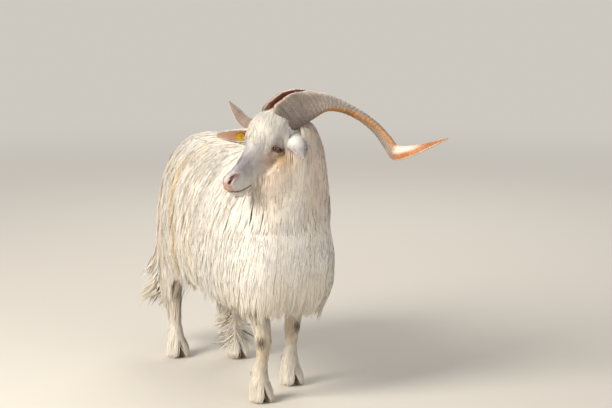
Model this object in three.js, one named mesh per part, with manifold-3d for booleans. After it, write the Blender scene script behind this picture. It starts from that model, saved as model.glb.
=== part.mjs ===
// A long-haired white billy goat with spread screw horns, standing, its head turned to its right.
// Millimetres, +Z up, facing -Y, +X is the goat's left. The flesh parts reach out to the tips of the coat.
import * as THREE from "three";
import { mergeVertices } from "three/addons/utils/BufferGeometryUtils.js";
import Module from "manifold-3d";

const wasm = await Module();
wasm.setup();

// ---- Driving dimensions ----
const gap = 0.4; // clearance between neighbouring pieces
const croupHeight = 724; // top of the coat over the hips
const withersHeight = 716;
const bellyFringe = 236; // lowest hair under the trunk
const coatHalfWidth = 162; // widest half-width of the coated trunk
const feet = {
  // where each foot stands: the goat has its right fore foot forward
  fore: { left: [97, -163], right: [-70, -330] },
  hind: { left: [80, 244], right: [-93, 333] },
};
const head = {
  at: [-25.5, -340.3, 830.9], // middle of the skull's top, between the horns
  turn: 69.7, // degrees to the goat's right
  dip: 43.3, // degrees of the face's line below level
  roll: -2,
};
const eyeRadius = 14;
const hornDepth = 46; // half the keel-to-back width at the root
const hornThickness = 20;
const hornTwist = -200; // degrees from root to tip
const hornHeel = [5, 17, 10, 2]; // how much further the blade's back edge reaches near the root
const earLength = 155;
const earThickness = 4.4;
const clawHeight = 33;

const coat = () => new THREE.MeshStandardMaterial({ color: 0xe9e2d4, roughness: 0.85, metalness: 0 });
const keratin = () => new THREE.MeshStandardMaterial({ color: 0x8d8271, roughness: 0.6, metalness: 0 });
const hoofHorn = () => new THREE.MeshStandardMaterial({ color: 0x9a7a5c, roughness: 0.6, metalness: 0 });
const wetEye = () => new THREE.MeshStandardMaterial({ color: 0x8a5a1e, roughness: 0.1, metalness: 0 });
const tagPlastic = () => new THREE.MeshStandardMaterial({ color: 0xe8bf12, roughness: 0.45, metalness: 0 });

// ---- Shape tools ----
const rad = THREE.MathUtils.degToRad;
const vec = (x, y, z) => new THREE.Vector3(x, y, z);
const mirrored = ([x, y, z]) => [-x, y, z];
const ring = (x, y, z, side, front, back = front) => ({ at: vec(x, y, z), reach: vec(side, front, back) });
const join = (...solids) => solids.reduce((all, next) => all.add(next));

// A closed geometry as a solid that can be joined and cut.
function solid(geometry) {
  const bare = geometry.clone();
  bare.deleteAttribute("normal");
  bare.deleteAttribute("uv");
  const merged = mergeVertices(bare, 1e-3);
  return new wasm.Manifold(
    new wasm.Mesh({
      numProp: 3,
      vertProperties: merged.attributes.position.array,
      triVerts: new Uint32Array(merged.index.array),
    }),
  );
}

// The rows of a limb: points down its middle, each with its front, its side and its reach.
function rowsOf(rings, along, aim, twist, endsDense) {
  const line = new THREE.CatmullRomCurve3(rings.map((r) => r.at));
  const reaches = new THREE.CatmullRomCurve3(rings.map((r) => r.reach));
  const front = vec(...aim);
  const rows = [];
  for (let i = 0; i <= along; i++) {
    const even = i / along;
    const t = THREE.MathUtils.lerp(even, (1 - Math.cos(even * Math.PI)) / 2, endsDense);
    const tangent = line.getTangent(t);
    front.addScaledVector(tangent, -front.dot(tangent)).normalize();
    const turned = front.clone().applyAxisAngle(tangent, twist(t));
    const side = turned.clone().cross(tangent);
    rows.push({ t, at: line.getPoint(t), tangent, front: turned, side, reach: reaches.getPoint(t) });
  }
  return rows;
}

// A body swept down its rings. Round-ended ones bend a sphere, flat-ended ones a cylinder.
function limb(rings, options = {}) {
  const {
    aim = [0, 0, 1], around = 14, along = 12, power = 2.2, lowPower = power, grow = 0, flat = false,
    blunt = 0.1, twist = () => 0, place = new THREE.Matrix4(), swells = [],
  } = options;
  const rows = rowsOf(rings, along, aim, twist, flat ? 0 : 0.35);
  const shape = flat
    ? new THREE.CylinderGeometry(1, 1, 2, around, along)
    : new THREE.SphereGeometry(1, around, along);
  const spot = shape.attributes.position;
  for (let i = 0; i < spot.count; i++) {
    const [x, y, z] = [spot.getX(i), spot.getY(i), spot.getZ(i)];
    const share = flat ? (1 - y) / 2 : Math.acos(THREE.MathUtils.clamp(y, -1, 1)) / Math.PI;
    const row = rows[Math.round(share * along)];
    const fromEnd = Math.min(row.t, 1 - row.t) / blunt;
    const rounded = Math.sqrt(1 - (1 - Math.min(1, fromEnd)) ** 2);
    const fullness = flat ? Math.hypot(x, z) : rounded;
    const angle = Math.atan2(z, x);
    const curve = z > 0 ? power : lowPower;
    const bend = (value) => Math.sign(value) * (Math.round(Math.abs(value) * 1e6) / 1e6) ** (2 / curve);
    const wide = (row.reach.x + grow) * bend(Math.cos(angle)) * fullness;
    const deep = ((z > 0 ? row.reach.y : row.reach.z) + grow) * bend(Math.sin(angle)) * fullness;
    const point = row.at.clone();
    point.addScaledVector(row.side, wide).addScaledVector(row.front, deep);
    point.addScaledVector(row.tangent, grow * (2 * row.t - 1));
    const outward = point.clone().sub(row.at).normalize();
    for (const { at, reach, lift } of swells) {
      point.addScaledVector(outward, lift * Math.exp(-((point.distanceTo(at) / reach) ** 2)));
    }
    spot.setXYZ(i, point.x, point.y, point.z);
  }
  return solid(shape.applyMatrix4(place));
}

function ball(at, radii, options = {}) {
  const { grow = 0, place = new THREE.Matrix4(), around = 12, rows = 8, lean = 0 } = options;
  const shape = new THREE.SphereGeometry(1, around, rows);
  shape.scale(radii[0] + grow, radii[1] + grow, radii[2] + grow).rotateX(lean).translate(...at);
  return solid(shape.applyMatrix4(place));
}

// ---- The head's own frame: X to its left, Y up from the face, Z down the face to the nose ----
const faceLevel = vec(-Math.sin(rad(head.turn)), -Math.cos(rad(head.turn)), 0);
const headFrame = new THREE.Matrix4()
  .makeBasis(
    vec(0, 0, 1).cross(faceLevel),
    vec(0, 0, Math.cos(rad(head.dip))).addScaledVector(faceLevel, Math.sin(rad(head.dip))),
    vec(0, 0, -Math.sin(rad(head.dip))).addScaledVector(faceLevel, Math.cos(rad(head.dip))),
  )
  .premultiply(new THREE.Matrix4().makeRotationAxis(faceLevel, rad(head.roll)))
  .setPosition(...head.at);

// A soft bump (or hollow, with a negative lift) on both sides of the head.
const bump = (at, reach, lift) => [at, mirrored(at)].map((spot) => ({ at: vec(...spot), reach, lift }));

// The head in one piece, from the back of the skull to the lips. Each ring: height, half-width, up, down.
function headShape() {
  const station = (along, middle, half, up, down) => ring(0, middle, along, half, up, down);
  return limb(
    [
      station(-58, -22, 44, 28, 38),
      station(-32, -24, 56, 48, 68),
      station(8, -26, 60, 62, 84),
      station(45, -28, 58, 71, 86),
      station(82, -30, 53, 57, 80),
      station(114, -32, 43, 44, 70),
      station(148, -32, 34, 39, 60),
      station(182, -31, 28.5, 37, 51),
      station(210, -27, 27.5, 35, 45),
      station(232, -22, 25.5, 34, 49),
      station(248, -23, 20, 22, 38),
      station(257, -25, 13, 12, 18),
    ],
    {
      aim: [0, 1, 0], around: 18, along: 19, power: 2.3, lowPower: 2.5, blunt: 0.05, place: headFrame,
      swells: [
        ...bump([46, -6, 80], 17, 6), // brow
        ...bump([34, -12, 118], 18, -3), // hollow before the eye
        ...bump([19, 2, 229], 11, 4), // nostril wing
        ...bump([20, -30, 228], 12, 3), // upper lip
        ...bump([12, -57, 238], 13, 3), // chin
        ...bump([0, 44, 22], 26, 3), // forelock
      ],
    },
  );
}

const eyeAt = [45.5, -36, 75];

// The mouth's slit and the two nostrils, cut into the muzzle.
function muzzleCuts() {
  const mouthHeight = 1.6;
  const slit = new THREE.BoxGeometry(90, mouthHeight, 74);
  slit.rotateX(rad(-27)).translate(0, -35, 236).applyMatrix4(headFrame);
  const nostril = (sign) => {
    const shape = new THREE.SphereGeometry(1, 8, 6).scale(4, 5, 17);
    shape.rotateX(rad(-6)).rotateY(rad(-16 * sign)).translate(18 * sign, 5, 225);
    return solid(shape.applyMatrix4(headFrame));
  };
  return join(solid(slit), nostril(1), nostril(-1));
}

// ---- Horns: up and back from the skull, out to the side and down, then flaring up and out ----
const hornRoute = [
  [33, 4, 8], [44, -10, -70], [59, -51, -129], [94, -96, -156], [142, -139, -163],
  [194, -173, -151], [243, -195, -126], [288, -201, -102], [354, -190, -107], [415, -184, -136], [472, -177, -166],
];
const hornKeel = [-0.35, 0.75, 0.35]; // where the sharp front edge points at the root

function horn(sign, grow) {
  const steps = hornRoute.length - 1;
  const rings = hornRoute.map(([x, y, z], i) => {
    const size = (1 - i / steps) ** 0.62 * 0.9 + (i === steps ? 0.06 : 0.1);
    return ring(x * sign, y, z, hornThickness * size, hornDepth * size, hornDepth * size * 0.92 + (hornHeel[i] ?? 0));
  });
  return limb(rings, {
    aim: [hornKeel[0] * sign, hornKeel[1], hornKeel[2]],
    around: 10, along: 28, power: 1.7, lowPower: 2.1, grow, blunt: 0.03, place: headFrame,
    twist: (t) => rad(hornTwist) * sign * t,
  });
}

// ---- Ears: leaves rolled round their own length, open to the front ----
const earRoot = [58, -47, 2];
// roll: radius that the leaf is rolled to at its root, and how much wider the roll is at the tip
// full: its width at the root and from the middle on, as a share of an open ear's
const earPose = {
  left: { along: [0.79, 0.12, 0.6], back: [0.18, 0.9, -0.57], roll: [34, -18], full: [1.2, 0.56] },
  right: { along: [-0.66, 0.39, 0.645], back: [-0.55, 0.15, -0.7], roll: [24, 22], full: [1, 1] },
};

function earHalfWidth(side, u) {
  const [nearRoot, nearTip] = earPose[side].full;
  const full = THREE.MathUtils.lerp(nearRoot, nearTip, THREE.MathUtils.smoothstep(u, 0.12, 0.7));
  return full * 35 * Math.sin(Math.PI * (0.16 + 0.84 * u ** 0.85)) ** 0.7 + 1.5;
}

function earPoint(side, u, across, lift) {
  const root = vec(...(side === "left" ? earRoot : mirrored(earRoot)));
  const pose = earPose[side];
  const along = vec(...pose.along).normalize();
  const back = vec(...pose.back);
  back.addScaledVector(along, -back.dot(along)).normalize();
  const wide = back.clone().cross(along);
  const roll = pose.roll[0] + pose.roll[1] * u;
  const angle = (across * earHalfWidth(side, u)) / roll;
  root.addScaledVector(along, earLength * u);
  root.addScaledVector(back, roll * (Math.cos(angle) - 1) + lift * Math.cos(angle));
  return root.addScaledVector(wide, (roll + lift) * Math.sin(angle));
}

function ear(side, grow) {
  const shape = new THREE.BoxGeometry(1, 1, 1, 9, 5, 1);
  const spot = shape.attributes.position;
  for (let i = 0; i < spot.count; i++) {
    const u = spot.getX(i) + 0.5;
    const across = spot.getY(i) * 2;
    const thick = earThickness * (1 - 0.45 * Math.abs(across)) * (1 - 0.35 * u) + 2 * grow;
    const p = earPoint(side, u, across * (1 + grow / earHalfWidth(side, u)), spot.getZ(i) * thick);
    spot.setXYZ(i, p.x, p.y, p.z);
  }
  return solid(shape.applyMatrix4(headFrame));
}

// A round two-piece ear tag: the face with its pin, and the button behind the ear.
const tagPlace = [0.54, -0.42]; // along the ear and across it

function tagPart(kind, grow) {
  const at = earPoint("right", ...tagPlace, 0);
  const outward = earPoint("right", ...tagPlace, 10).sub(at).normalize();
  const disc = (radius, from, to, around) => {
    const shape = new THREE.CylinderGeometry(radius + grow, radius + grow, to - from + 2 * grow, around);
    shape.translate(0, (from + to) / 2, 0);
    shape.applyQuaternion(new THREE.Quaternion().setFromUnitVectors(vec(0, 1, 0), outward));
    return solid(shape.translate(at.x, at.y, at.z).applyMatrix4(headFrame));
  };
  return kind === "button" ? disc(8, 3.2, 6.2, 12) : join(disc(13, -6.2, -4, 16), disc(2.6, -5, 2.8, 6));
}

// ---- Trunk, neck and tail ----
function trunkShape(grow = 0) {
  const widest = 420; // height at which the coat is widest
  const station = (y, half, top, bottom, x = 0) => ring(x, y, widest, half, top - widest, widest - bottom);
  return limb(
    [
      station(462, 62, 560, 372),
      station(438, 94, 622, 330),
      station(396, 122, 672, 286),
      station(322, 144, croupHeight - 16, bellyFringe + 18),
      station(220, 156, croupHeight, bellyFringe + 14),
      station(80, coatHalfWidth, croupHeight - 14, bellyFringe + 20),
      station(-60, coatHalfWidth, withersHeight - 8, bellyFringe + 14),
      station(-180, coatHalfWidth + 6, withersHeight, bellyFringe, 2),
      station(-280, coatHalfWidth + 8, 650, bellyFringe - 4, 5),
      station(-352, coatHalfWidth - 5, 595, bellyFringe - 4, 10),
      station(-410, 124, 545, bellyFringe + 18, 13),
      station(-442, 82, 500, bellyFringe + 62, 14),
    ],
    { around: 20, along: 15, power: 2.1, lowPower: 2.7, blunt: 0.07, grow },
  );
}

function neckShape() {
  return limb(
    [
      ring(8, -210, 440, 150, 110, 130),
      ring(14, -262, 500, 160, 125, 145),
      ring(20, -296, 570, 148, 122, 135),
      ring(26, -316, 640, 126, 112, 115),
      ring(32, -322, 700, 108, 104, 98),
      ring(36, -322, 755, 94, 92, 84),
      ring(34, -318, 800, 72, 72, 66),
      ring(30, -316, 826, 44, 48, 44),
    ],
    { aim: [0, -1, 0], around: 18, along: 9, power: 2.1, blunt: 0.08 },
  );
}

function tailShape() {
  return limb(
    [
      ring(0, 396, 632, 24, 22, 24),
      ring(-4, 436, 634, 28, 26, 26),
      ring(-10, 470, 600, 30, 24, 28),
      ring(-14, 488, 548, 24, 18, 24),
      ring(-16, 490, 500, 12, 9, 10),
    ],
    { around: 8, along: 8, blunt: 0.15 },
  );
}

// ---- Legs, from inside the trunk down to the coronet above the hoof ----
function foreleg(side) {
  const [footX, footY] = feet.fore[side];
  const out = Math.sign(footX);
  const shoulderY = -255;
  const [bowX, bowY] = side === "left" ? [2, -14] : [8, -16]; // the knee stands this far in front of the foot
  const lean = (share) => THREE.MathUtils.lerp(footY, shoulderY, share) + bowY;
  const shin = (share, y, z, ...reach) => ring(footX + bowX * share, footY + bowY * share + y, z, ...reach);
  return limb(
    [
      ring(out * 98, lean(0.86), 420, 46, 66, 66),
      ring(out * 96, lean(0.55), 350, 42, 54, 58),
      ring(footX + bowX + out * 12, lean(0.3), 285, 34, 40, 42),
      ring(footX + bowX + out * 5, lean(0.1), 230, 27, 29, 30),
      ring(footX + bowX + out * 2, lean(0.02), 196, 25.5, 27, 25),
      shin(1, 0, 172, 25, 25, 23),
      shin(0.9, 0, 148, 20.5, 20, 21),
      shin(0.7, 0, 120, 18, 18, 20),
      shin(0.35, 1, 92, 23.5, 22, 26),
      shin(0.1, -4, 66, 28, 25, 27),
      shin(0, -8, 44, 33, 31, 28),
      shin(0, -9, 26, 36, 35, 31),
    ],
    { aim: [0, -1, 0], around: 10, along: 13, power: 2.3, flat: true },
  );
}

function hindleg(side) {
  const [footX, footY] = feet.hind[side];
  const out = Math.sign(footX);
  const shaggy = side === "left" ? 6 : 0; // its shank carries the fuller hair
  return limb(
    [
      ring(out * 84, 300, 470, 54, 100, 110),
      ring(out * 90, 300, 390, 54, 90, 110),
      ring(out * 93, 312, 320, 46, 76, 112),
      ring(out * 93, footY + 20, 265, 36, 50, 74),
      ring(footX, footY + 20, 222, 28 + shaggy, 32, 70),
      ring(footX, footY + 14, 186, 24 + shaggy, 25, 60),
      ring(footX, footY + 8, 150, 20 + shaggy, 21, 36),
      ring(footX, footY + 3, 115, 19 + shaggy, 20, 25),
      ring(footX, footY, 88, 23 + shaggy / 2, 22, 27),
      ring(footX, footY - 5, 64, 26, 24, 27),
      ring(footX, footY - 9, 44, 29, 28, 27),
      ring(footX, footY - 10, 27, 31, 32, 30),
    ],
    { aim: [0, -1, 0], around: 10, along: 15, power: 2.3, flat: true },
  );
}

// The long hair behind each thigh and hock, blown towards the goat's right and back.
const britch = {
  right: [[-62, 368, 500], [-74, 392, 420], [-84, 420, 332], [-98, 464, 250], [-113, 530, 164]],
  left: [[76, 384, 460], [88, 388, 360], [84, 330, 255], [70, 288, 170], [58, 270, 104]],
};

function britchShape(side) {
  const reach = [[46, 50], [42, 50], [36, 46], [28, 36], [10, 14]];
  const rings = britch[side].map(([x, y, z], i) => ring(x, y, z, ...reach[i]));
  return limb(rings, { aim: [0, -1, 0], around: 8, along: 7, blunt: 0.12 });
}

// One of the two claws of a cloven hoof: a flat sole, a steep heel and a sloping toe.
function claw([footX, footY], inward, grow) {
  const splay = rad(9) * inward;
  const row = (height, half, toe, heel) => ring(0, 0, height, half, toe, heel);
  const stance = new THREE.Matrix4().makeRotationZ(splay).setPosition(footX + 17 * inward, footY - 10, 0);
  return limb(
    [row(clawHeight + grow, 11.5, 19, 31), row(clawHeight / 2, 12.8, 28, 28), row(-grow, 13.2, 36, 24)],
    { aim: [0, -1, 0], around: 12, along: 2, power: 1.9, lowPower: 2.8, flat: true, grow, place: stance },
  );
}

const dewclaw = ([footX, footY], inward, grow) =>
  ball([footX + 12 * inward, footY + 26, 74], [6, 5, 11], { grow, around: 6, rows: 5, lean: rad(-25) });

// ---- Parting tools: each is a plain convex block, used once as it is and once grown by the gap ----
const legRoot = { fore: -262, hind: 322 }; // how far along the body each pair of legs is rooted
const legInside = 24; // the trunk keeps this much each side of the middle

function limbBlock(end, side, grow) {
  const [rootY, footY] = [legRoot[end], feet[end][side][1]];
  const halfWidth = 150;
  const x = (side === "left" ? 1 : -1) * (legInside + halfWidth);
  const behind = end === "hind" ? 230 : 0; // the hind ones take in the long hair behind the thigh
  const row = (z, share, deep) =>
    ring(x, THREE.MathUtils.lerp(footY, rootY, share), z, halfWidth, deep, deep + behind);
  return limb(
    [row(530, 1, 60), row(470, 1, 110), row(380, 0.9, 122), row(290, 0.5, 92), row(200, 0.1, 74), row(-30, 0, 90)],
    { aim: [0, -1, 0], around: 8, along: 5, power: 6, flat: true, grow },
  );
}

// All of the head: ahead of a plane behind the ears and jaw, and above the underside of the jaw.
function headBlock(grow) {
  const block = new THREE.BoxGeometry(300, 500, 500).translate(0, 250 - 116 - grow, 200);
  const behind = vec(0, 0.66, 0.75).normalize();
  return solid(block).trimByPlane(behind.toArray(), -60 - grow).transform(headFrame.elements);
}

function neckBlock(grow) {
  const block = new THREE.BoxGeometry(600, 700, 700).translate(0, -450, 860);
  const withers = vec(0, -0.8, 0.6);
  return solid(block).trimByPlane(withers.toArray(), withers.dot(vec(0, -215, 640)) - grow);
}

// ---- Putting it together ----
const goat = new THREE.Group();
const sides = [["left", 1], ["right", -1]];
const claws = [["a", 1], ["b", -1]];
const hard = []; // eyes, horns, ears, tag and hooves, each grown by the gap, to cut the flesh clear

function addNode(name, body, finish) {
  const largest = body.decompose().reduce((best, next) => (next.volume() > best.volume() ? next : best));
  const made = largest.getMesh();
  const geometry = new THREE.BufferGeometry();
  geometry.setAttribute("position", new THREE.BufferAttribute(made.vertProperties, 3));
  geometry.setIndex(new THREE.BufferAttribute(made.triVerts, 1));
  geometry.computeVertexNormals();
  const mesh = new THREE.Mesh(geometry, finish);
  mesh.name = name;
  goat.add(mesh);
}

// A piece that isn't flesh: it keeps clear of the ones before it, and the flesh is cut clear of it.
function addHard(name, shapeOf, finish) {
  const body = hard.reduce((left, other) => left.subtract(other), shapeOf(0));
  hard.push(shapeOf(gap));
  addNode(name, body, finish);
}

for (const [side, sign] of sides) {
  const at = sign > 0 ? eyeAt : mirrored(eyeAt);
  const radii = [eyeRadius, eyeRadius, eyeRadius];
  addHard(`eye_${side}`, (grow) => ball(at, radii, { grow, place: headFrame, around: 12, rows: 8 }), wetEye());
  addHard(`horn_${side}`, (grow) => horn(sign, grow), keratin());
}
addHard("ear_tag_face", (grow) => tagPart("face", grow), tagPlastic());
addHard("ear_tag_button", (grow) => tagPart("button", grow), tagPlastic());
for (const [side] of sides) addHard(`ear_${side}`, (grow) => ear(side, grow), coat());
for (const [end, places] of Object.entries(feet)) {
  for (const [side, foot] of Object.entries(places)) {
    for (const [letter, inward] of claws) {
      addHard(`hoof_${end}_${side}_${letter}`, (grow) => claw(foot, inward, grow), hoofHorn());
      addHard(`dewclaw_${end}_${side}_${letter}`, (grow) => dewclaw(foot, inward, grow), hoofHorn());
    }
  }
}

const clearOf = (body, cutters) => cutters.reduce((left, cutter) => left.subtract(cutter), body);
const legShapes = sides.flatMap(([side]) => [foreleg(side), hindleg(side), britchShape(side)]);
let flesh = clearOf(join(trunkShape(), neckShape(), headShape(), ...legShapes), [...hard, muzzleCuts()]);

// Takes the flesh inside a block away as a node of its own.
function part(name, block) {
  addNode(name, flesh.intersect(block(0)), coat());
  flesh = flesh.subtract(block(gap));
}

part("head", headBlock);
part("neck", neckBlock);
for (const [side] of sides) {
  for (const end of ["fore", "hind"]) part(`${end}leg_${side}`, (grow) => limbBlock(end, side, grow));
}
addNode("tail", tailShape().subtract(trunkShape(gap)), coat());
addNode("trunk", flesh, coat());

// The part's own origin is the middle of its bounding box, at floor level.
const bounds = new THREE.Box3().setFromObject(goat);
const middle = bounds.getCenter(vec(0, 0, 0));
for (const mesh of goat.children) mesh.geometry.translate(-middle.x, -middle.y, 0);

export default goat;
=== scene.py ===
import math

import bmesh
import bpy
import numpy as np
from mathutils import Matrix, Vector
from mathutils.bvhtree import BVHTree
from mathutils.kdtree import KDTree


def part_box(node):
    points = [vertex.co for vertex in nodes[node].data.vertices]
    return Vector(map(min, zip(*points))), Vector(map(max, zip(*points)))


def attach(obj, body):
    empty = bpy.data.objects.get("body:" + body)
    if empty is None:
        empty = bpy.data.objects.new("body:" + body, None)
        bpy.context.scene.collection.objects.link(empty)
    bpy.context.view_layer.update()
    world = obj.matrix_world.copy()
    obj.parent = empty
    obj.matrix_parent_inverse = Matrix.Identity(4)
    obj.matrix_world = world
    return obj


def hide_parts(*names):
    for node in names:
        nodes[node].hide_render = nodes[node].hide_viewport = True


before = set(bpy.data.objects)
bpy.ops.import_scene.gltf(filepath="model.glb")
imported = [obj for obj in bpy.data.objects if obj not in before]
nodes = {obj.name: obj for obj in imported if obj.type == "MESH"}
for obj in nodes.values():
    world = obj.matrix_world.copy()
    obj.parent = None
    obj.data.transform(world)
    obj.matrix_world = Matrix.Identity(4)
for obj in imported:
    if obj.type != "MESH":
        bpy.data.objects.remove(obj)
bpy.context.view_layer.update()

dice = np.random.default_rng(7)


norm = np.linalg.norm


def unit(v):
    return v / np.maximum(norm(v, axis=-1, keepdims=True), 1e-9)


def smooth(x, low, high):
    t = np.clip((x - low) / (high - low), 0, 1)
    return t * t * (3 - 2 * t)


def mix(a, b, w):
    return a + (b - a) * w


def dot(a, b):
    return (a * b).sum(-1, keepdims=True)


# the head's own axes: to its left, up from the face, down the face to the nose
headPose = {"turn": 69.7, "dip": 43.3, "roll": -2.0, "eye": (45.5, -36, 75),
            "crown": (-25.5, -340.3, 830.9)}
turn, dip, roll = (math.radians(headPose[k]) for k in ("turn", "dip", "roll"))
level = np.array([-math.sin(turn), -math.cos(turn), 0.0])
upward = np.array([0.0, 0.0, 1.0])
headAxes = np.array([
    np.cross(upward, level),
    upward * math.cos(dip) + level * math.sin(dip),
    -upward * math.sin(dip) + level * math.cos(dip),
]) @ np.array(Matrix.Rotation(roll, 3, Vector(level))).T
eyeSpots = [np.mean([np.array(c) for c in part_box("eye_" + s)], axis=0) for s in ("left", "right")]
crown = sum(eyeSpots) / 2 - np.array([0, headPose["eye"][1], headPose["eye"][2]]) / 1000 @ headAxes
origin = crown - np.array(headPose["crown"]) / 1000


def fromHead(q):
    return crown + np.asarray(q, float) / 1000 @ headAxes


def toHead(p):
    return (p - crown) @ headAxes.T * 1000


def toBody(p):
    return (p - origin) * 1000


def fromBody(q):
    return np.asarray(q, float) / 1000 + origin


# tools for material and geometry nodes
def feed(tree, made, inputs):
    # links a socket, or writes a value
    for key, value in inputs.items():
        if isinstance(value, bpy.types.NodeSocket):
            tree.links.new(value, made.inputs[key])
        else:
            made.inputs[key].default_value = value


def node(tree, kind, inputs=None, **settings):
    made = tree.nodes.new(kind)
    for key, value in settings.items():
        setattr(made, key, value)
    feed(tree, made, inputs or {})
    return made


def newPaint(name):
    paint = bpy.data.materials.new(name)
    paint.use_nodes = True
    return paint, paint.node_tree, paint.node_tree.nodes["Principled BSDF"]


def maths(tree, kind, a, b=None):
    return node(tree, "ShaderNodeMath", {0: a} if b is None else {0: a, 1: b}, operation=kind).outputs[0]


def remap(tree, value, low, high, toLow, toHigh):
    return node(tree, "ShaderNodeMapRange", {0: value, 1: low, 2: high, 3: toLow, 4: toHigh}).outputs[0]


def mixColors(tree, a, b, factor, kind="MIX"):
    inputs = {0: factor, 6: a, 7: b}
    return node(tree, "ShaderNodeMix", inputs, data_type="RGBA", blend_type=kind,
                clamp_factor=True).outputs[2]


def shade(tree, color, value):
    # multiplies a colour by a value from nodes
    grey = node(tree, "ShaderNodeCombineColor", {0: value, 1: value, 2: value})
    return mixColors(tree, color, grey.outputs[0], 1.0, "MULTIPLY")


def mottle(tree, color, noise, low, high, spread=0.2):
    # lightens and darkens a colour with a noise
    return shade(tree, color, remap(tree, noise, 0.5 - spread, 0.5 + spread, low, high))


def noiseOn(tree, place, scale=1.0, detail=2.0, roughness=0.5):
    inputs = {"Vector": place, "Scale": scale, "Detail": detail, "Roughness": roughness}
    return node(tree, "ShaderNodeTexNoise", inputs).outputs[0]


def stretched(tree, place, scale):
    return node(tree, "ShaderNodeMapping", {"Vector": place, "Scale": scale}).outputs[0]


def named(tree, name, output="Color"):
    return node(tree, "ShaderNodeAttribute", attribute_name=name).outputs[output]


def objectPlace(tree):
    return node(tree, "ShaderNodeTexCoord").outputs["Object"]


def bumped(tree, strength, distance, height, under=None):
    inputs = {"Strength": strength, "Distance": distance, "Height": height}
    return node(tree, "ShaderNodeBump", inputs | ({"Normal": under} if under else {})).outputs[0]


def seenRays(tree):
    # 1 for what the camera sees, straight, mirrored or through something clear
    rays = node(tree, "ShaderNodeLightPath").outputs
    seen = maths(tree, "MAXIMUM", rays["Is Camera Ray"], rays["Is Glossy Ray"])
    return maths(tree, "MAXIMUM", seen, rays["Is Transmission Ray"])


# camera, floor and lights
cameraSet = {"place": (-2415.3, -6209.7, 1560), "turn": 23.0, "down": 8.757, "lens": 129.41, "sensor": 36}
lightSet = {
    "key": ((-3.9, -1.0, 3.2), 2.6, 288, (1.0, 0.95, 0.86)),
    "fill": ((1.2, -5.6, 2.2), 3.6, 40, (0.95, 0.96, 1.0)),
    "back": ((1.8, 3.4, 3.0), 2.4, 60, (1.0, 0.96, 0.90)),
    "world": 0.42,
    "aim": (0, 0, 0.45), "floorColor": (0.66, 0.62, 0.56), "floorRough": 0.9, "floorReach": 60,
    "paleColor": (0.62, 0.585, 0.53), "floorFade": (1.6, 7.0),  # metres from the middle
}


def makeCamera(scene):
    lens = bpy.data.cameras.new("camera")
    lens.lens, lens.sensor_width, lens.clip_end = cameraSet["lens"], cameraSet["sensor"], 100
    camera = bpy.data.objects.new("camera", lens)
    camera.location = fromBody(cameraSet["place"])
    camera.rotation_euler = (math.radians(90 - cameraSet["down"]), 0, math.radians(-cameraSet["turn"]))
    scene.collection.objects.link(camera)
    scene.camera = camera


def makeLamp(scene, name):
    place, size, power, color = lightSet[name]
    lamp = bpy.data.lights.new(name, "AREA")
    lamp.shape, lamp.size, lamp.energy, lamp.color = "DISK", size, power, color
    light = bpy.data.objects.new(name, lamp)
    light.location = place
    light.rotation_mode = "QUATERNION"
    light.rotation_quaternion = (Vector(place) - Vector(lightSet["aim"])).to_track_quat("Z", "Y")
    scene.collection.objects.link(light)


def makeWorld(scene):
    world = bpy.data.worlds.new("studio")
    world.use_nodes = True
    tree = world.node_tree
    ground = tree.nodes["Background"]
    feed(tree, ground, {"Color": (1, 1, 1, 1), "Strength": lightSet["world"]})
    pale = node(tree, "ShaderNodeBackground", {"Color": (*lightSet["paleColor"], 1)})
    mixed = node(tree, "ShaderNodeMixShader", {0: seenRays(tree), 1: ground.outputs[0], 2: pale.outputs[0]})
    feed(tree, tree.nodes["World Output"], {0: mixed.outputs[0]})
    scene.world = world


def makeFloor(scene):
    mesh = bpy.data.meshes.new("floor")
    turns = np.linspace(0, 2 * math.pi, 96, endpoint=False)
    reach = lightSet["floorReach"]
    mesh.from_pydata([(reach * math.cos(a), reach * math.sin(a), 0) for a in turns], [], [tuple(range(96))])
    floor = bpy.data.objects.new("floor", mesh)
    scene.collection.objects.link(floor)
    paint, tree, bsdf = newPaint("floorPaint")
    feed(tree, bsdf, {"Base Color": (*lightSet["floorColor"], 1), "Roughness": lightSet["floorRough"]})
    # far from the model the floor runs into the pale ground
    far = node(tree, "ShaderNodeVectorMath", {0: objectPlace(tree)}, operation="LENGTH").outputs["Value"]
    low, high = lightSet["floorFade"]
    span = {"Value": far, "From Min": low, "From Max": high}
    fade = node(tree, "ShaderNodeMapRange", span, interpolation_type="SMOOTHSTEP").outputs[0]
    share = maths(tree, "MULTIPLY", fade, seenRays(tree))
    glow = node(tree, "ShaderNodeEmission", {"Color": (*lightSet["paleColor"], 1)})
    mixed = node(tree, "ShaderNodeMixShader", {0: share, 1: bsdf.outputs[0], 2: glow.outputs[0]})
    feed(tree, tree.nodes["Material Output"], {0: mixed.outputs[0]})
    mesh.materials.append(paint)


def makeStage():
    scene = bpy.context.scene
    scene.view_settings.view_transform = "Standard"
    makeCamera(scene)
    for name in ("key", "fill", "back"):
        makeLamp(scene, name)
    makeWorld(scene)
    makeFloor(scene)


makeStage()
print("stage set")


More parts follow.
